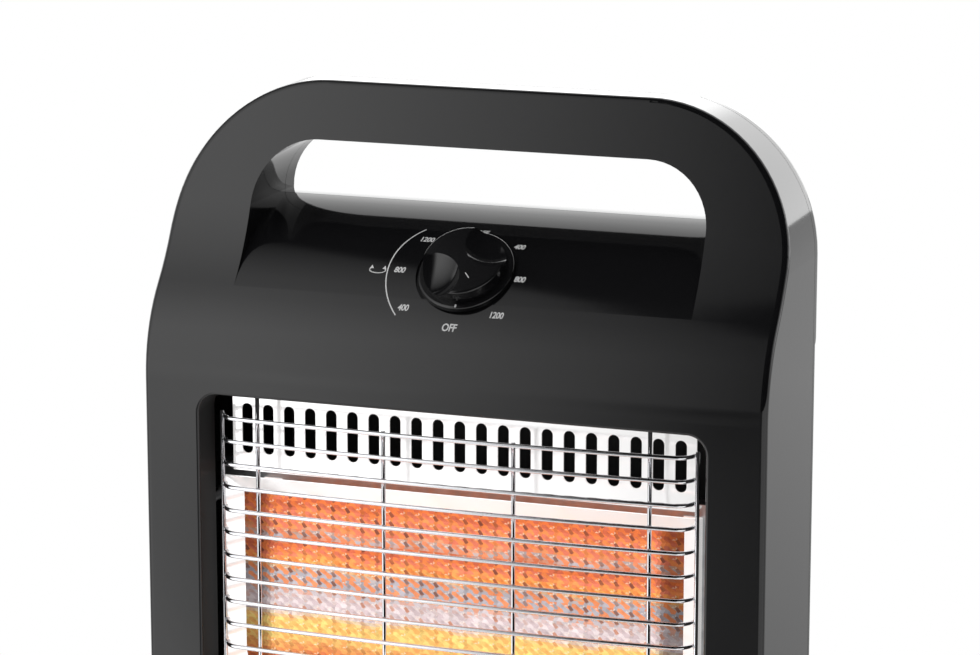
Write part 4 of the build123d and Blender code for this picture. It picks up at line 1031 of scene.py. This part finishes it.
# Lights and flags that the heater mirrors: where each starts and ends, how strong it is at both,
# and whether it goes smoothly from one to the other. A name that ends in x, y or z is on that part
# of the way to the light, left to right, front to back or up, and one that ends in m is on the
# distance in metres.
EDGES = {
    "close_box_x": (-0.52, -0.46, 1.6, 0.8, False),
    "close_flag_x": (-0.25, -0.13, 1.0, 0.35),
    "near_box_x": (-0.43, -0.2, 1.6, 0.15, False),
    "far_box_x": (-0.4, -0.25, 1.75, 0.15, False),
    "close_to_near_m": (0.8, 1.7, 0.0, 1.0, False),
    "near_to_far_m": (1.8, 4.5),
    "right_x": (0.25, 0.5),
    "dim_left_x": (-0.98, -0.85, 0.35, 1.0),
    "back_floor_y": (0.0, 0.25),
    "back_floor_x": (0.0, 0.3, 1.0, 0.7),
    "back_floor_m": (0.8, 1.8, 0.68, 1.0, False),
    "back_y": (-0.15, 0.25),
    "wall_box_x": (-0.4, -0.25, 1.75, 0.12, False),
    "wall_box_y": (-0.8, 0.2, 1.0, 0.0, False),
    "wall_box_slant": (-2.0, -1.9, 1.0, 0.0),
    "strip_y": (0.42, 0.75, 0.6, 1.5, False),
    "strip_start_y": (0.3, 0.36),
    "horizon_z": (0.3, 0.5, 1.0, 0.0),
    "back_box": (0.93, 0.98),
    "white_floor_m": (0.3, 0.85),
    "lighting_to_seen": (0.0, 1.0, 0.55, 1.0),
}
BOX_SLANT = 5.4
BACK_BOX_WAY = (-0.34, 0.92, 0.2)


def edge(tree, name, value):
    """Strength that a light or flag has where the value is."""
    return ramp(tree, value, *EDGES[name])


def seen(tree):
    """1 for camera, glossy and transmission rays, 0 for the rest."""
    camera, glossy, transmission = (
        wire_up(tree, "ShaderNodeLightPath").outputs[f"Is {kind} Ray"]
        for kind in ("Camera", "Glossy", "Transmission")
    )
    return calc(tree, "MAXIMUM", calc(tree, "MAXIMUM", camera, glossy), transmission)


def floor_light(tree, place):
    """How much light a place on the floor gives to what mirrors it: a wide softbox at the front
    left fades towards a black flag straight ahead, differently near and far away; behind the heater
    the floor is light, less so at the right and close by, and at the far left it is dim."""
    away = calc_vector(tree, "LENGTH", place)
    x, y, _ = parts(tree, calc_vector(tree, "NORMALIZE", place))
    near, far = edge(tree, "near_box_x", x), edge(tree, "far_box_x", x)
    zones = between(tree, edge(tree, "near_to_far_m", away), near, far)
    close = calc(tree, "MULTIPLY", edge(tree, "close_box_x", x), edge(tree, "close_flag_x", x))
    zones = between(tree, edge(tree, "close_to_near_m", away), close, zones)
    front = calc(tree, "MAXIMUM", zones, edge(tree, "right_x", x))
    front = calc(tree, "MULTIPLY", front, edge(tree, "dim_left_x", x))
    back = calc(tree, "MULTIPLY", edge(tree, "back_y", y), edge(tree, "back_floor_x", x))
    back = calc(tree, "MULTIPLY", back, edge(tree, "back_floor_m", away))
    either = calc(tree, "MAXIMUM", front, back)
    return between(tree, edge(tree, "back_floor_y", y), either, back)


class HEATER_OT_stage(bpy.types.Operator):
    """Make the camera, the pale floor and the soft studio light"""

    bl_idname = "heater.stage"
    bl_label = "Stage"

    LENS, SENSOR, CLIP = 135.92, 36.0, (0.05, 60.0)
    CAMERA_PLACE, CAMERA_TURNS = (0.5743, -1.5773, 0.7837), (77.7, 0.0, 20.0)
    AIM = Vector((0, 0, 0.3))
    # Name, place, width and height, and power of each lamp.
    LAMPS = (
        ("overhead_softbox", (-0.3, -0.3, 2.4), (2.4, 1.8), 34.0),
        ("left_softbox", (-2.2, -1.2, 1.2), (1.2, 1.8), 22.0),
        ("right_softbox", (2.4, 0.4, 1.3), (1.0, 1.8), 12.0),
    )
    FLOOR_MIDDLE, FLOOR_RADIUS, FLOOR_RINGS, FLOOR_SIDES = 0.05, 30.0, 24, 64
    FLOOR_ROUGHNESS = 0.7

    def execute(self, context):
        scene = context.scene
        scene.view_settings.view_transform = "Standard"
        eye = bpy.data.cameras.new("camera")
        eye.lens, eye.sensor_width = self.LENS, self.SENSOR
        eye.clip_start, eye.clip_end = self.CLIP
        camera = bpy.data.objects.new("camera", eye)
        camera.location = self.CAMERA_PLACE
        camera.rotation_euler = [math.radians(turn) for turn in self.CAMERA_TURNS]
        scene.collection.objects.link(camera)
        scene.camera = camera
        self.floor(scene)
        self.world(scene)
        for name, place, size, power in self.LAMPS:
            light = bpy.data.lights.new(name, "AREA")
            light.shape, light.size, light.size_y = "RECTANGLE", size[0], size[1]
            light.energy = power
            lamp = bpy.data.objects.new(name, light)
            lamp.location = place
            lamp.rotation_euler = (self.AIM - lamp.location).to_track_quat("-Z", "Y").to_euler()
            lamp.visible_glossy = False
            scene.collection.objects.link(lamp)
        return {"FINISHED"}

    def floor(self, scene):
        """Flat disc: rings of points (r cos t, r sin t, 0)."""
        rings, sides = self.FLOOR_RINGS, self.FLOOR_SIDES
        r = np.geomspace(self.FLOOR_MIDDLE, self.FLOOR_RADIUS, rings)[:, None]
        t = np.linspace(0, 2 * np.pi, sides, endpoint=False)[None]
        points = np.stack([r * np.cos(t), r * np.sin(t), 0 * r * t], axis=-1).reshape(-1, 3)
        faces = quads(rings, sides, wrap=True)[:, ::-1].tolist() + [list(range(sides))]
        mesh = bpy.data.meshes.new("studio_floor")
        mesh.from_pydata(points.tolist(), [], faces)
        mesh.materials.append(self.floor_material(scene))
        floor = bpy.data.objects.new("studio_floor", mesh)
        scene.collection.objects.link(floor)

    def floor_material(self, scene):
        """Pale floor that keeps the shadow near the heater and goes white further away, and that
        what mirrors it sees with the floor's own lights and flags."""
        material = bpy.data.materials.new("studio_floor")
        material.use_nodes = True
        tree = material.node_tree
        shader = tree.nodes["Principled BSDF"]
        shader.inputs["Base Color"].default_value = rgba(scene.heater_finish.floor)
        shader.inputs["Roughness"].default_value = self.FLOOR_ROUGHNESS
        place = place_on(tree)
        far = edge(tree, "white_floor_m", calc_vector(tree, "LENGTH", place))
        glossy = wire_up(tree, "ShaderNodeLightPath").outputs["Is Glossy Ray"]
        light = between(tree, glossy, 1.0, floor_light(tree, place))
        white = wire_up(tree, "ShaderNodeEmission", [("Color", (1, 1, 1, 1)), ("Strength", light)])
        share = calc(tree, "MULTIPLY", far, seen(tree))
        links = [(0, share), (1, shader.outputs[0]), (2, white.outputs[0])]
        mixed = wire_up(tree, "ShaderNodeMixShader", links)
        tree.links.new(mixed.outputs[0], tree.nodes["Material Output"].inputs["Surface"])
        return material

    def world(self, scene):
        """White where it is seen and even where it lights. Where it is mirrored it has a softbox at
        the front left that fades upwards and to the right, a black ceiling, a light strip behind
        the ceiling that gets brighter downwards, and a pale horizon with a softbox at the back."""
        world = bpy.data.worlds.new("studio")
        world.use_nodes = True
        tree = world.node_tree
        back = tree.nodes["Background"]
        back.inputs["Color"].default_value = (1, 1, 1, 1)
        way = wire_up(tree, "ShaderNodeTexCoord").outputs["Generated"]
        x, y, z = parts(tree, way)
        across = calc(tree, "MAXIMUM", edge(tree, "wall_box_x", x), edge(tree, "right_x", x))
        slant = calc(tree, "ADD", y, calc(tree, "MULTIPLY", x, BOX_SLANT))
        box = calc(tree, "MULTIPLY", across, edge(tree, "wall_box_y", y))
        box = calc(tree, "MULTIPLY", box, edge(tree, "wall_box_slant", slant))
        strip = calc(tree, "MULTIPLY", edge(tree, "strip_y", y), edge(tree, "strip_start_y", y))
        horizon = calc(tree, "MULTIPLY", edge(tree, "horizon_z", z), edge(tree, "back_y", y))
        towards = calc_vector(tree, "DOT_PRODUCT", way, BACK_BOX_WAY)
        behind = calc(tree, "ADD", horizon, edge(tree, "back_box", towards))
        mirrored = calc(tree, "ADD", calc(tree, "MAXIMUM", box, strip), behind)
        glossy = wire_up(tree, "ShaderNodeLightPath").outputs["Is Glossy Ray"]
        plain = edge(tree, "lighting_to_seen", seen(tree))
        tree.links.new(between(tree, glossy, plain, mirrored), back.inputs["Strength"])
        scene.world = world


class HEATER_PT_panel(bpy.types.Panel):
    """Lists the heater's sizes, colours and building steps"""

    bl_idname = "HEATER_PT_panel"
    bl_label = "Halogen heater"
    bl_space_type = "VIEW_3D"
    bl_region_type = "UI"
    bl_category = "Heater"

    def draw(self, context):
        for name, settings in SETTINGS.items():
            box = self.layout.box()
            box.label(text=name.replace("heater_", "").title())
            group = getattr(context.scene, name)
            for field in settings.__annotations__:
                box.prop(group, field)
        for operator in OPERATORS:
            self.layout.operator(operator.bl_idname)


SETTINGS = {
    "heater_guard": GuardSettings,
    "heater_reflector": ReflectorSettings,
    "heater_lamps": LampSettings,
    "heater_dial": DialSettings,
    "heater_screw": ScrewSettings,
    "heater_finish": FinishSettings,
}
OPERATORS = (
    HEATER_OT_stage,
    HEATER_OT_finishes,
    HEATER_OT_guard,
    HEATER_OT_reflector,
    HEATER_OT_lamps,
    HEATER_OT_dial,
    HEATER_OT_screws,
)


def register():
    """Adds the settings, the steps and the panel."""
    for kind in (*SETTINGS.values(), *OPERATORS, HEATER_PT_panel):
        bpy.utils.register_class(kind)
    for name, settings in SETTINGS.items():
        setattr(bpy.types.Scene, name, PointerProperty(type=settings))


def unregister():
    """Takes them away again."""
    for name in SETTINGS:
        delattr(bpy.types.Scene, name)
    for kind in (HEATER_PT_panel, *reversed(OPERATORS), *SETTINGS.values()):
        bpy.utils.unregister_class(kind)


def main():
    """Builds the whole heater."""
    register()
    for operator in OPERATORS:
        step = operator.bl_idname.split(".")[1]
        getattr(bpy.ops.heater, step)()
    bpy.context.view_layer.update()


if __name__ == "__main__":
    main()
